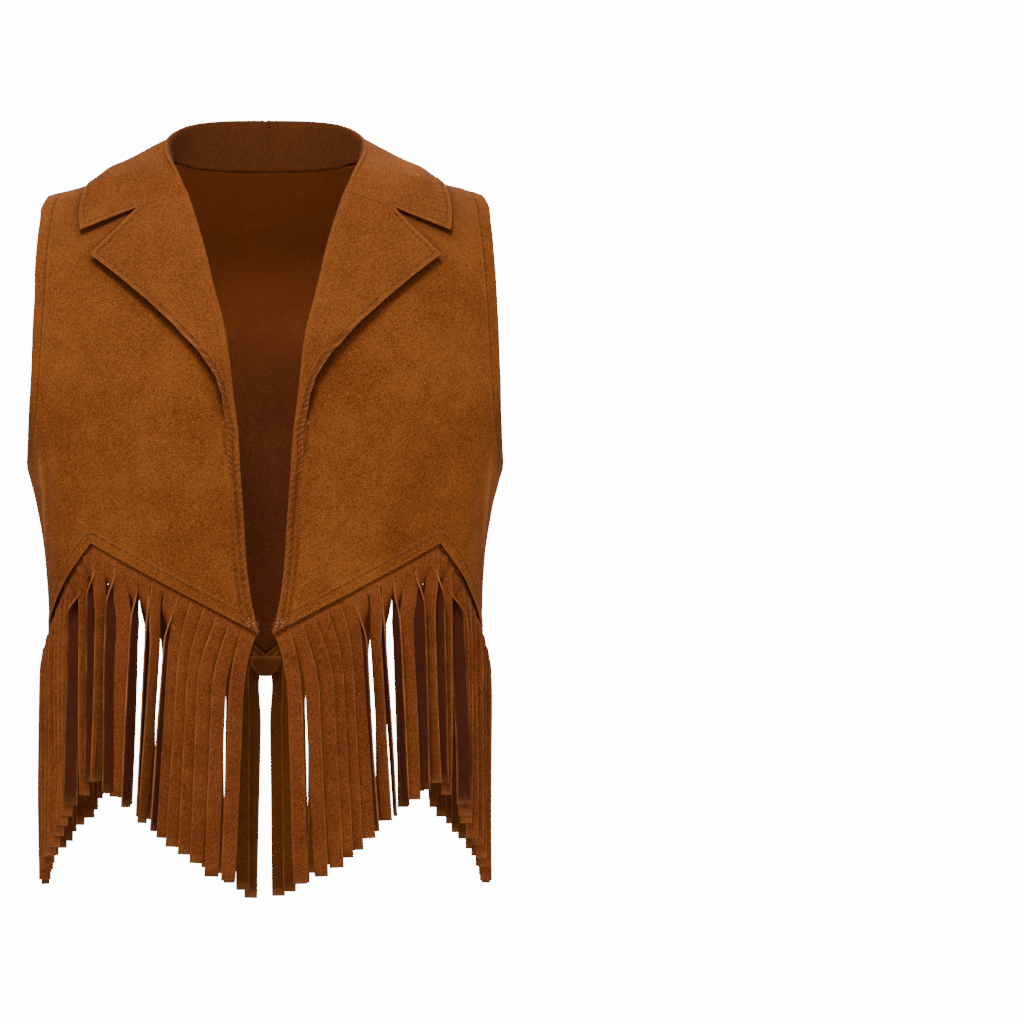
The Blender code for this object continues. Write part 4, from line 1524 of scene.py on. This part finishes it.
class Collar:
    """The folded collar, with its stand inside the neck and its fall outside."""

    name = "collar"

    @staticmethod
    def _neck_seam() -> tuple[np.ndarray, np.ndarray]:
        """The body's neck edge from the middle of the back to the gorge, by its share."""
        across = np.linspace(0, neck_across(), 40)
        back = torso(BACK, across, back_top(across))
        level = np.linspace(RIDGE, level_at(*GORGE_START), 40)
        front = torso(FRONT, front_inner(level), level)
        line = np.concatenate([back, front])
        return lengths_along(line) / lengths_along(line)[-1], line

    @staticmethod
    def _body_tree() -> tuple[KDTree, np.ndarray, np.ndarray]:
        """Points and outward directions over both fronts and the back, to lay cloth on."""
        across, level = np.meshgrid(np.linspace(-1, 1, 201), np.linspace(-0.12, RIDGE - 0.0002, 110))
        views = (FRONT, BACK)
        samples = np.concatenate([torso(view, across, level).reshape(-1, 3) for view in views])
        directions = np.concatenate([outward(view, across, level).reshape(-1, 3) for view in views])
        return search_tree(samples), samples, directions

    def _lifted_clear(self, points: np.ndarray, clearance: np.ndarray) -> np.ndarray:
        """Points moved out so that none lies closer to the body than its clearance."""
        tree, samples, directions = self._body_tree()
        out = points.copy()
        for _ in range(3):
            for place in np.ndindex(points.shape[:-1]):
                _, closest, _ = tree.find(out[place])
                height = (out[place] - samples[closest]) @ directions[closest]
                if height < clearance[place]:
                    out[place] += directions[closest] * (clearance[place] - height)
        return out

    @staticmethod
    @staticmethod
    def _section(neck: np.ndarray, fold: np.ndarray, edge: np.ndarray, gorge: float) -> np.ndarray:
        """Points across the collar: up the stand, over the fold and down the fall."""
        up = unit(fold - neck)
        away = edge - neck
        away = unit(away - up * (away @ up))
        stand = [neck, (neck + fold) / 2, fold - up * FOLD_HEIGHT]
        crest = [fold + away * FOLD_WIDTH * 0.27, fold + away * FOLD_WIDTH * 0.73]
        top = fold - up * FOLD_HEIGHT + away * FOLD_WIDTH
        fall = []
        for share in FALL_SHARES:
            bulge = FALL_BULGE * np.sin(np.pi * share) * (1 - gorge)
            fall.append(top + (edge - top) * share + np.array([0.0, 0.0, bulge]))
        return np.array(stand + crest + fall)

    def _coarse_half(self) -> np.ndarray:
        """The collar's wearer-left half on the CAD part's own grid."""
        shares, line = self._neck_seam()
        folds = np.array([row.fold for row in COLLAR_STATIONS])
        edges = np.array([row.edge for row in COLLAR_STATIONS])
        necks = np.array([row.neck for row in COLLAR_STATIONS])
        sections = []
        for at in np.concatenate([np.linspace(0, 5, 11), np.linspace(5, 7, 7)[1:]]):
            neck = read_line([smooth_grid(necks, at, 0)], shares, line)[0]
            inward = -np.array([neck[0], neck[1], 0.0]) / np.hypot(neck[0], neck[1])
            neck = neck + inward * (COLLAR_WALL + 0.0005) - np.array([0.0, 0.0, 0.0004])
            fold = smooth_grid(folds, at, 0)
            edge = smooth_grid(edges, at, 0)
            sections.append(self._section(neck, fold, edge, float(np.clip(at - 6, 0, 1))))
        half = np.stack(sections, axis=1)
        end = half[FALL_START:, -1]
        half[FALL_START:, -1] = on_front(end[:, 0], self._gorge_z(end[:, 0]), np.full(len(end), COLLAR_LIFT))
        stand_end = half[:FALL_START, -1, 2]
        half[:FALL_START, -1, 2] = np.maximum(stand_end, GORGE_START[1] + 5 * GORGE_HALF_GAP)
        clearance = np.zeros(half.shape[:2])
        clearance[FALL_START + 1 :, :] = CLEARANCE
        return self._lifted_clear(half, clearance)

    @staticmethod
    def _gorge_z(x: np.ndarray) -> np.ndarray:
        """The height of the collar's front end at x: along the gorge seam and the notch."""
        tip_x, _, tip_z = COLLAR_STATIONS[-1].edge
        z = np.interp(x, [GORGE_START[0], NOTCH[0], tip_x], [GORGE_START[1], NOTCH[1], tip_z])
        return z + 2 * GORGE_HALF_GAP

    def base(self) -> np.ndarray:
        """The collar's upper face on a fine grid, from the wearer's right to the left."""
        half = self._coarse_half()
        last = half.shape[0] - 1
        stand = np.linspace(0, STAND_TOP, 15)[:-1]
        crest = np.linspace(STAND_TOP, FALL_START, 19)[:-1]
        fall = np.linspace(FALL_START, last - 1, 34)[:-1]
        edge = last - 1 + (1 - (1 - np.linspace(0, 1, 12)) ** 1.5)
        rows = np.concatenate([stand, crest, fall, edge])
        columns = np.linspace(0, half.shape[1] - 1, 110)
        columns = np.unique(np.concatenate([columns, columns[-1] - np.array([0.25, 0.1])]))
        fine = smooth_grid(smooth_grid(half, rows, 0), columns, 1)
        clearance = np.zeros(fine.shape[:2])
        clearance[rows > FALL_START + 0.5, :] = CLEARANCE
        fine = self._lifted_clear(fine, clearance)
        fine = self._led_into_lapel(fine, rows)
        low = (1 - step(rows, 0.0, 1.0))[:, None] * (1 - step(np.abs(fine[..., 0]), 0.055, 0.072))
        fine[..., 2] -= STAND_DROP * low
        return np.concatenate([mirrored(fine[:, :0:-1], -1.0), fine], axis=1)

    @staticmethod
    def _led_into_lapel(fine: np.ndarray, rows: np.ndarray) -> np.ndarray:
        """Leads the collar's front end into the lapel, so that the two roll as one cloth.

        Args:
            fine: The collar's wearer-left half.
            rows: The coarse row at which each fine row lies.

        Returns:
            The half with its front end moved onto the gorge seam.
        """
        roll = Lapel.rolled_edge(GORGE_START[1] + 2 * GORGE_HALF_GAP, LAPEL_ROOT_LIFT)
        inner = 2 * roll[0] - roll[2] + (roll[0] - roll[-1]) * 0.25
        leg_x = roll[-1][0] + 0.0004
        lengths = lengths_along(fine[rows >= FALL_START, -1])
        x = leg_x + (COLLAR_STATIONS[-1].edge[0] - leg_x) * lengths / lengths[-1]
        share = (x - leg_x) / (LAPEL_TIP[0] - leg_x)
        notch_share = (NOTCH[0] - leg_x) / (LAPEL_TIP[0] - leg_x)
        rise = LAPEL_EDGE_LIFT - LAPEL_ROOT_LIFT
        lift = LAPEL_ROOT_LIFT + rise * np.minimum(share, notch_share) ** 2
        leg = on_front(x, Collar._gorge_z(x), lift + 0.0022 * step(share, notch_share, 1.2))
        stand = np.linspace(inner, roll[0], int((rows < STAND_TOP).sum()) + 1)[:-1]
        crest_rows = rows[(rows >= STAND_TOP) & (rows < FALL_START)]
        crest_shares = (crest_rows - STAND_TOP) / (FALL_START - STAND_TOP)
        bend = np.concatenate([roll, leg[:1]])
        crest = read_line(crest_shares, np.linspace(0, 1, len(bend)), bend)
        goal = np.concatenate([stand, crest, leg])
        from_end = lengths_along(fine[len(rows) // 2, ::-1])[::-1]
        share_of_goal = 1 - step(from_end, 0.0, 0.026)
        return fine + share_of_goal[None, :, None] * (goal - fine[:, -1])[:, None, :]

    @staticmethod
    def edges(points: np.ndarray) -> list[np.ndarray]:
        """The fall's lower edge, and each end's upper side of the notch."""
        notch = [k for k in range(len(points)) if abs(points[k, -1, 0]) > NOTCH[0]][0]
        return [points[notch:, 0], points[-1], points[notch:, -1][::-1]]

    def surface(self) -> Surface:
        """The finished outer face."""
        points = self.base()
        nothing = np.zeros(points.shape[:2])
        surface = Surface(points, nothing, nothing)
        normals = surface.normals()
        free = np.concatenate(self.edges(points))
        distance, _ = EdgeLine(free).measure(points)
        outer = step(np.arange(len(points)) / len(points), 0.30, 0.45)[:, None]
        out = 0.0011 * np.clip(swell(points, 0.055, 6.3), -0.3, 1) * outer
        full = bell(np.abs(points[..., 0]), 0.130, 0.014) * step(points[..., 2], -0.030, 0.000)
        out = out + OUTER_BULGE * full * outer * step(distance, 0.0, 0.022)
        seam = Seam(free, COLLAR_BAND, COLLAR_RAISE, COLLAR_ROWS, 13.0)
        moved, wear, shade = seam.relief(points)
        stand = 1 - step(np.arange(len(points)), 16, 27)[:, None]
        # painted shade on the stand, inside the neck
        surface.shade = np.maximum(shade, STAND_SHADE * stand)
        middle = np.abs(points[..., 0])
        seamed = -0.0006 * bell(middle, 0.0, 0.0007) + 0.0003 * bell(middle, 0.0022, 0.0011)
        surface.points = points + normals * (out + moved + seamed)[..., None]
        fold = bell(np.arange(len(points)), 22, 6)[:, None]
        surface.wear = np.maximum(wear, FOLD_WEAR * fold)
        return surface

    def stitches(self, surface: Surface) -> list[Guide]:
        """The topstitching of the free edges, and of the seam at the middle of the back."""
        guides = edge_stitches(surface, self.edges(surface.points))
        tree = surface.tree()
        middle = surface.points.shape[1] // 2
        for offset in (-MIDDLE_ROW, MIDDLE_ROW):
            spots = []
            for spot in surface.points[2:-6, middle]:
                found, normal = nearest(tree, spot + np.array([offset, 0.0, 0.0]))
                spots.append((found + normal * STITCH_LIFT, normal))
            guides.append(Guide.row(spots))
        return guides


@dataclass(frozen=True)
class StrandTurn:
    """How one strand hangs differently from its neighbours. Its number counts from the
    middle of the vest to the side; turn is in degrees, and a strand turned past 90 shows
    its smooth maroon back; shift moves all of it towards the side and drift its end;
    width is a share."""

    number: int
    turn: float = 0.0
    shift: float = 0.0
    drift: float = 0.0
    width: float = 1.0


FRONT_TURNS = (
    StrandTurn(0, 0.0, 0.0028, 0.0, 1.02),
    StrandTurn(1, 4.0, 0.0064, 0.0, 1.0),
    StrandTurn(2, 0.0, 0.0076, 0.0),
    StrandTurn(3, 3.0, 0.0052, 0.0),
    StrandTurn(4, -8.0, 0.0030, 0.0),
    StrandTurn(5, 12.0, 0.0008, 0.0, 0.96),
    StrandTurn(6, 132.0, -0.0031, 0.0, 0.85),
    StrandTurn(7, -26.0, -0.0048, 0.0, 0.85),
    StrandTurn(8, 116.0, -0.0074, 0.0, 0.75),
    StrandTurn(9, 136.0, -0.0062, 0.001, 0.85),
    StrandTurn(10, 22.0, -0.0072, 0.0015, 1.05),
    StrandTurn(11, 158.0, -0.0051, 0.0, 0.96),
    StrandTurn(12, -26.0, -0.0054, 0.0, 0.90),
    StrandTurn(13, 172.0, -0.0043, 0.0, 0.95),
    StrandTurn(14, -30.0, 0.0004, 0.0, 0.74),
    StrandTurn(15, 196.0, 0.0034, 0.0060, 1.16),
    StrandTurn(16, 0.0, 0.0066, 0.0, 0.90),
    StrandTurn(17, -18.0, 0.0050, 0.0, 0.88),
    StrandTurn(18, -4.0, 0.0010, 0.001, 0.85),
    StrandTurn(19, -22.0, 0.0014, 0.0, 0.88),
    StrandTurn(20, 4.0, 0.0, -0.001, 0.90),
    StrandTurn(21, -18.0, 0.0006, 0.0, 0.90),
)
BACK_TURNS = (
    StrandTurn(0, 6.0, -0.0040, 0.0, 1.15),
    StrandTurn(1, 0.0, -0.0030, -0.0020, 1.18),
    StrandTurn(2, 0.0, -0.0016, 0.0),
    StrandTurn(3, 0.0, 0.0026, -0.0044),
    StrandTurn(9, 92.0, -0.0030, 0.002, 0.80),
    StrandTurn(11, 98.0, -0.0040, 0.001, 0.80),
    StrandTurn(13, 180.0, 0.0, 0.001),
    StrandTurn(14, 60.0, 0.0, 0.002, 0.90),
    StrandTurn(15, 180.0, 0.0, -0.002),
    StrandTurn(20, -20.0, 0.0, 0.002),
)


DOWN = np.array([0.0, 0.0, -1.0])
# The back's short middle strip: how far down each of its points lies, and half its width
TIP_DROPS = (0.0, 0.004, 0.008, 0.0115, 0.0145, 0.0165)
TIP_HALF_WIDTHS = (0.0125, 0.0125, 0.0115, 0.0090, 0.0062, 0.0040)
# Where the pattern of random amounts starts: the fronts left and right, the back's halves
FRONT_SEEDS = (21, 22)
BACK_SEEDS = (23, 24)


class Fringe:
    """A header band inside the hem with the cut strands hanging from it."""

    def __init__(self, name: str, view: View, side: float) -> None:
        """Sets the fringe up.

        Args:
            name: The CAD node that it stands for.
            view: The front or the back.
            side: 1 for the wearer's left front, -1 for the right one, 1 for the back.
        """
        self.name = name
        self.view = view
        self.side = side
        self.across, self.level, apex_across = hem_levels(view)
        self.along = lengths_along(torso(view, self.across, self.level))
        self.apex = float(np.interp(apex_across, self.across, self.along))

    def hem_place(self, distance: float, raise_by: float) -> tuple[np.ndarray, np.ndarray]:
        """A point of the header's plane and its outward direction."""
        at = np.interp(distance, self.along, self.across)
        height = np.interp(distance, self.along, self.level) + raise_by
        out = outward(self.view, at, height)
        return torso(self.view, at, height) - out * (WALL + HEADER_GAP), out

    def _run(self, start: float, end: float) -> np.ndarray:
        """Evenly spaced middles of the strands between two distances along the hem."""
        count = int(round((end - start) / self.view.pitch))
        pitch = (end - start) / count
        return start + pitch * (np.arange(count) + 0.5)

    def strand(self, middle: float, turn: StrandTurn, jitter: np.ndarray) -> Guide:
        """One strand's guide.

        Args:
            middle: Its distance along the hem.
            turn: How it differs from its neighbours.
            jitter: Small random amounts for its sway, turn and length.

        Returns:
            The guide, from inside the header to the strand's end.
        """
        root, normal = self.hem_place(middle, -ROOT_DROP)
        before, _ = self.hem_place(middle - HEM_PROBE, -ROOT_DROP)
        after, _ = self.hem_place(middle + HEM_PROBE, -ROOT_DROP)
        along_hem = unit(after - before)
        square_down = np.cross(along_hem, normal)
        square_down = square_down * -np.sign(square_down[2])
        across_hang = np.cross(DOWN, normal)
        across_hang = across_hang * np.sign(across_hang @ along_hem)
        knots = [0.0, self.apex, self.along[-1]]
        length = np.interp(middle, knots, self.view.strands) * (1 + LENGTH_SPREAD * jitter[2])
        fine = np.linspace(0, length, STRAND_STEPS)
        share = fine / length
        hung = (1 - np.exp(-fine / self.view.bend))[:, None]
        settling = step(fine, FREE_BELOW, SETTLED if abs(turn.turn) < REVERSED_TURN else 0.8 * SETTLED)
        loose = 0.35 + 0.65 * bell(middle, self.apex, BUNCH_REACH)
        sway = turn.shift * settling + self._drift(middle, turn, share)
        sway = sway + loose * SWAY * self._lull(jitter, share) * share
        side_share = abs(np.interp(middle, self.along, self.across)) ** 4
        away = (FLARE_ALL + FLARE_SIDE * side_share) * hung[:, 0] + EMERGE * step(fine, 0.0, FREE_BELOW)
        away = away + loose * SWAY * self._ripple(jitter, share) * share
        centre = root + self._path(middle, fine, square_down, hung)
        centre = centre + normal * away[:, None] + across_hang * sway[:, None]
        tilt = np.radians(np.interp(middle, knots, self.view.tilts)) * step(fine, 0.0, TILTED)
        wander = jitter[1] * share + 0.6 * jitter[0] * np.sin(2.4 * np.pi * share)
        tilt = tilt + (np.radians(turn.turn) + LOOSE_TURN * loose * wander) * settling
        spread = unit(along_hem + (across_hang - along_hem) * hung)
        turned = spread * np.cos(tilt)[:, None] - normal * np.sin(tilt)[:, None]
        facing = np.cross(turned, np.gradient(centre, axis=0))
        facing = unit(facing * np.sign(np.cross(along_hem, square_down) @ normal))
        keep = np.concatenate([np.arange(0, 40, 3), np.arange(40, STRAND_STEPS, 5)])
        points = np.concatenate([[root - square_down * ROOT_OVERLAP], centre[keep]])
        normals = np.concatenate([[normal], facing[keep]])
        taper = 1 - STRAND_TAPER * abs(jitter[0]) * np.linspace(0, 1, len(points))
        half = self.view.strip / 2 * turn.width * taper
        half[:3] = self.view.pitch / 2 * ROOT_WIDTH
        return Guide(points, normals, half)

    def _path(
        self, middle: float, fine: np.ndarray, square_down: np.ndarray, hung: np.ndarray
    ) -> np.ndarray:
        """The way down from a strand's root, first square to the hem and then hanging. Near
        the apex it hangs sooner."""
        crowd = np.clip(abs(middle - self.apex) / BUNCH_REACH, 0.1, 1.0)
        direction = square_down + (DOWN - square_down) * hung
        sideways = direction - DOWN * (direction @ DOWN)[:, None]
        direction = unit(direction - sideways * (1 - crowd))
        return np.concatenate([[np.zeros(3)], np.cumsum(direction[:-1] * (fine[1] - fine[0]), axis=0)])

    def _drift(self, middle: float, turn: StrandTurn, share: np.ndarray) -> np.ndarray:
        """How far a strand leans towards the side on its way down."""
        knots = [0.0, self.apex / 2, self.apex, self.along[-1]]
        return (turn.drift + np.interp(middle, knots, self.view.leans)) * share**1.3

    @staticmethod
    def _lull(jitter: np.ndarray, share: np.ndarray) -> np.ndarray:
        """A strand's slow random wave along the hem, which starts at 0."""
        wave = np.sin(np.pi * (share * (1.1 + 0.5 * jitter[1]) + 0.5 * jitter[0]))
        return wave - np.sin(0.5 * np.pi * jitter[0])

    @staticmethod
    def _ripple(jitter: np.ndarray, share: np.ndarray) -> np.ndarray:
        """A strand's random wave off the cloth, which starts at 0."""
        wave = np.sin(2 * np.pi * (share * (0.9 + 0.4 * jitter[0]) + jitter[1]))
        return wave - np.sin(2 * np.pi * jitter[1])

    def half(self, seed: int) -> list[Guide]:
        """The header's and the strands' guides of one half."""
        turns = {turn.number: turn for turn in (FRONT_TURNS if self.view is FRONT else BACK_TURNS)}
        last = self.along[-1]
        runs = ((RUN_START, self.apex), (self.apex, last - RUN_END))
        middles = np.concatenate([self._run(*run) for run in runs])
        random = np.random.default_rng(seed)
        guides = []
        for number, middle in enumerate(middles):
            jitter = random.uniform(-1, 1, 3)
            guides.append(self.strand(middle, turns.get(number, StrandTurn(number)), jitter))
        inner = (HEADER_END, self.apex - APEX_HALF_GAP)
        outer = (self.apex + APEX_HALF_GAP, last - HEADER_END)
        for start, end in (inner, outer):
            places = np.linspace(start, end, 24)
            pairs = [self.hem_place(place, HEADER_HEIGHT / 2) for place in places]
            points = np.array([point for point, _ in pairs])
            normals = np.array([out for _, out in pairs])
            guides.append(Guide(points, normals, np.full(len(places), HEADER_HEIGHT / 2)))
        return guides

    def guides(self) -> list[Guide]:
        """The guides of the whole piece."""
        left_seed, right_seed = FRONT_SEEDS if self.view is FRONT else BACK_SEEDS
        wanted: list[Guide] = []
        if self.side > 0:
            wanted += self.half(left_seed)
        if self.side < 0 or self.view is BACK:
            wanted += [guide.mirrored() for guide in self.half(right_seed)]
        if self.view is BACK:
            wanted.append(self._tip())
        return wanted

    def _tip(self) -> Guide:
        """The short uncut strip below the back's middle point, where the halves meet."""
        top, normal = self.hem_place(0.0, HEADER_HEIGHT)
        points = top - normal * 0.0007 + np.array(TIP_DROPS)[:, None] * DOWN
        normals = np.repeat(normal[None], len(TIP_DROPS), axis=0)
        return Guide(points, normals, np.array(TIP_HALF_WIDTHS))

    def cut(self, guides: Sequence[Guide]) -> tuple[tuple[float, float], float]:
        """The flat strip that the fringe is cut from, and the area of its cut."""
        width = float(self.along[-1]) * (1 if self.view is FRONT else 2)
        area = 0.0
        for guide in guides:
            steps = np.diff(lengths_along(guide.points))
            area += float((steps * (guide.half_widths[1:] + guide.half_widths[:-1])).sum())
        return (width, HEADER_HEIGHT + max(self.view.strands)), area

    def build(self, sewing: Sewing, palette: Palette) -> tuple[Object, tuple, float]:
        """Makes the fringe's plain mesh, with its flat size and cut."""
        guides = self.guides()
        guide = sewing.guides(f"{self.name}_cloth", guides)
        piece = sewing.grow(guide, sewing.ribbons(palette.fringe, RIBBON_CUP))
        mesh = piece.data
        for attribute in ("face_normal", "half_width"):
            if attribute in mesh.attributes:
                mesh.attributes.remove(mesh.attributes[attribute])
        mesh.materials.clear()
        reverse = palette.reverse if self.view is FRONT else palette.inner
        for material in (palette.fringe, reverse, palette.rim):
            mesh.materials.append(material)
        mesh.polygons.foreach_set("material_index", np.zeros(len(mesh.polygons), np.int32))
        self._wear_edges(mesh)
        return walled(piece, FRINGE_WALL), *self.cut(guides)

    @staticmethod
    def _wear_edges(mesh: bpy.types.Mesh) -> None:
        """Lightens the strands' cut edges, unevenly, for the material to read."""
        edge_of_corner = np.empty(len(mesh.loops), np.int32)
        mesh.loops.foreach_get("edge_index", edge_of_corner)
        uses = np.bincount(edge_of_corner, minlength=len(mesh.edges))
        ends = np.empty(2 * len(mesh.edges), np.int32)
        mesh.edges.foreach_get("vertices", ends)
        at_edge = np.zeros(len(mesh.vertices))
        at_edge[ends.reshape(-1, 2)[uses == 1].ravel()] = 1.0
        places = np.empty(3 * len(mesh.vertices), np.float32)
        mesh.vertices.foreach_get("co", places)
        points = places.reshape(-1, 3).astype(float)
        set_values(mesh, "wear", at_edge * np.clip(0.30 + 0.45 * swell(points, 0.016, 8.4), 0.05, 0.8))


# The stage


class Studio:
    """A pale floor, soft light from all sides and the photograph's camera."""

    def build(self) -> None:
        """Makes the stage, the lights, the world and the camera."""
        self._floor()
        self._world()
        self._light("key", (-0.4, -2.0, 3.1), 1.0, 124.0)
        self._light("fill", (0.6, -4.2, 0.0), 3.0, 15.0)
        self._light("left", (-3.4, -0.6, 0.6), 2.4, 10.0)
        self._light("right", (3.4, -0.6, 0.6), 2.4, 10.0)
        self._light("rear", (0.5, 2.6, 2.4), 1.6, 80.0)
        self._camera()

    @staticmethod
    def _seen(tree: NodeTree) -> Socket:
        """1 where the camera looks straight at something, 0 for the light that it gives."""
        return tree.nodes.new("ShaderNodeLightPath").outputs["Is Camera Ray"]

    def _floor(self) -> None:
        """A large pale disc below the fringe."""
        place = (0, 0, FLOOR_LEVEL)
        bpy.ops.mesh.primitive_circle_add(vertices=96, radius=40.0, fill_type="NGON", location=place)
        floor = bpy.context.object
        floor.name = "floor"
        values = {
            "Base Color": (0.8, 0.8, 0.8, 1.0),
            "Roughness": 1.0,
            "Specular IOR Level": 0.0,
            "Emission Color": WHITE,
        }
        material, tree, shader = new_material("floor", values)
        glow = new_node(tree, "ShaderNodeMath", {1: PALE}, {0: self._seen(tree)}, operation="MULTIPLY")
        tree.links.new(glow.outputs[0], shader.inputs["Emission Strength"])
        floor.data.materials.append(material)

    def _world(self) -> None:
        """A plain white surrounding that lights the vest less than it shows."""
        world = bpy.data.worlds.new("studio")
        world.use_nodes = True
        tree = world.node_tree
        background = tree.nodes["Background"]
        background.inputs["Color"].default_value = WHITE
        values = {"To Min": AMBIENT, "To Max": PALE}
        strength = new_node(tree, "ShaderNodeMapRange", values, {"Value": self._seen(tree)})
        tree.links.new(strength.outputs["Result"], background.inputs["Strength"])
        bpy.context.scene.world = world

    @staticmethod
    def _light(name: str, place: tuple[float, float, float], size: float, power: float) -> None:
        """A square soft light that points at the vest."""
        data = bpy.data.lights.new(name, "AREA")
        data.size = size
        data.energy = power
        light = linked(name, data)
        light.location = place
        aim = Vector(LIGHTS_AIM) - Vector(place)
        light.rotation_euler = aim.to_track_quat("-Z", "Y").to_euler()

    @staticmethod
    def _camera() -> None:
        """The photograph's view, level with the vest's middle and turned a little so that
        the vest stands left of the picture's centre."""
        data = bpy.data.cameras.new("camera")
        data.lens = 600.0
        data.sensor_width = 36.0
        camera = linked("camera", data)
        camera.location = CAMERA_PLACE
        camera.rotation_euler = (math.pi / 2, 0.0, CAMERA_TURN)
        bpy.context.scene.camera = camera


# The vest


class Vest:
    """The whole vest, piece by piece."""

    def __init__(self) -> None:
        """Prepares what the pieces share."""
        self.palette = Palette()
        self.sewing = Sewing()

    def build(self) -> None:
        """Makes every piece."""
        for piece, finish, wall in self._sewn():
            self._cloth(piece, finish, wall)
        for fringe in (
            Fringe("fringe_front_left", FRONT, 1.0),
            Fringe("fringe_front_right", FRONT, -1.0),
            Fringe("fringe_back", BACK, 1.0),
        ):
            cloth, flat, area = fringe.build(self.sewing, self.palette)
            self._attach(cloth, Finish.FRINGE, fringe.name)
            LOG.info("%s flat %.3f x %.3f, cut %.4f", fringe.name, *flat, area)

    @staticmethod
    def _sewn() -> list[tuple[Panel | Lapel | Collar, Finish, float]]:
        """The pieces that are one grid of cloth each."""
        return [
            (Panel("front_left", FRONT, 1.0), Finish.BODY, WALL),
            (Panel("front_right", FRONT, -1.0), Finish.BODY, WALL),
            (Panel("back", BACK, 1.0), Finish.BODY, WALL),
            (Lapel("lapel_left", 1.0), Finish.COLLAR, COLLAR_WALL),
            (Lapel("lapel_right", -1.0), Finish.COLLAR, COLLAR_WALL),
            (Collar(), Finish.COLLAR, COLLAR_WALL),
        ]

    def _cloth(self, piece: Panel | Lapel | Collar, finish: Finish, wall: float) -> None:
        """Makes one piece of cloth and its stitches."""
        surface = piece.surface()
        cloth = cloth_object(f"{piece.name}_cloth", surface, wall, self.palette.cloth(finish))
        self._attach(cloth, finish, piece.name)
        rows = piece.stitches(surface)
        extras = [self.sewing.sew(f"{piece.name}_stitches", rows, self.palette.thread, STITCH_PITCH)]
        tacks = piece.tacks(surface) if isinstance(piece, Panel) else []
        if tacks:
            extras.append(self.sewing.sew(f"{piece.name}_tack", tacks, self.palette.tack, TACK_PITCH))
        for extra in extras:
            self._attach(extra, Finish.THREAD)
        flat, area = surface.cut()
        LOG.info("%s flat %.3f x %.3f, cut %.4f, %d rows", piece.name, *flat, area, len(rows))

    @staticmethod
    def _attach(obj: Object, finish: Finish, node: str = "") -> None:
        """Fixes a finished piece to the vest's body."""
        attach(obj, ROOT)
        if node:
            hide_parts(node)


def main() -> None:
    """Builds the scene."""
    logging.basicConfig(level=logging.INFO, format="%(message)s")
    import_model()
    Vest().build()
    Studio().build()


if __name__ == "__main__":
    main()
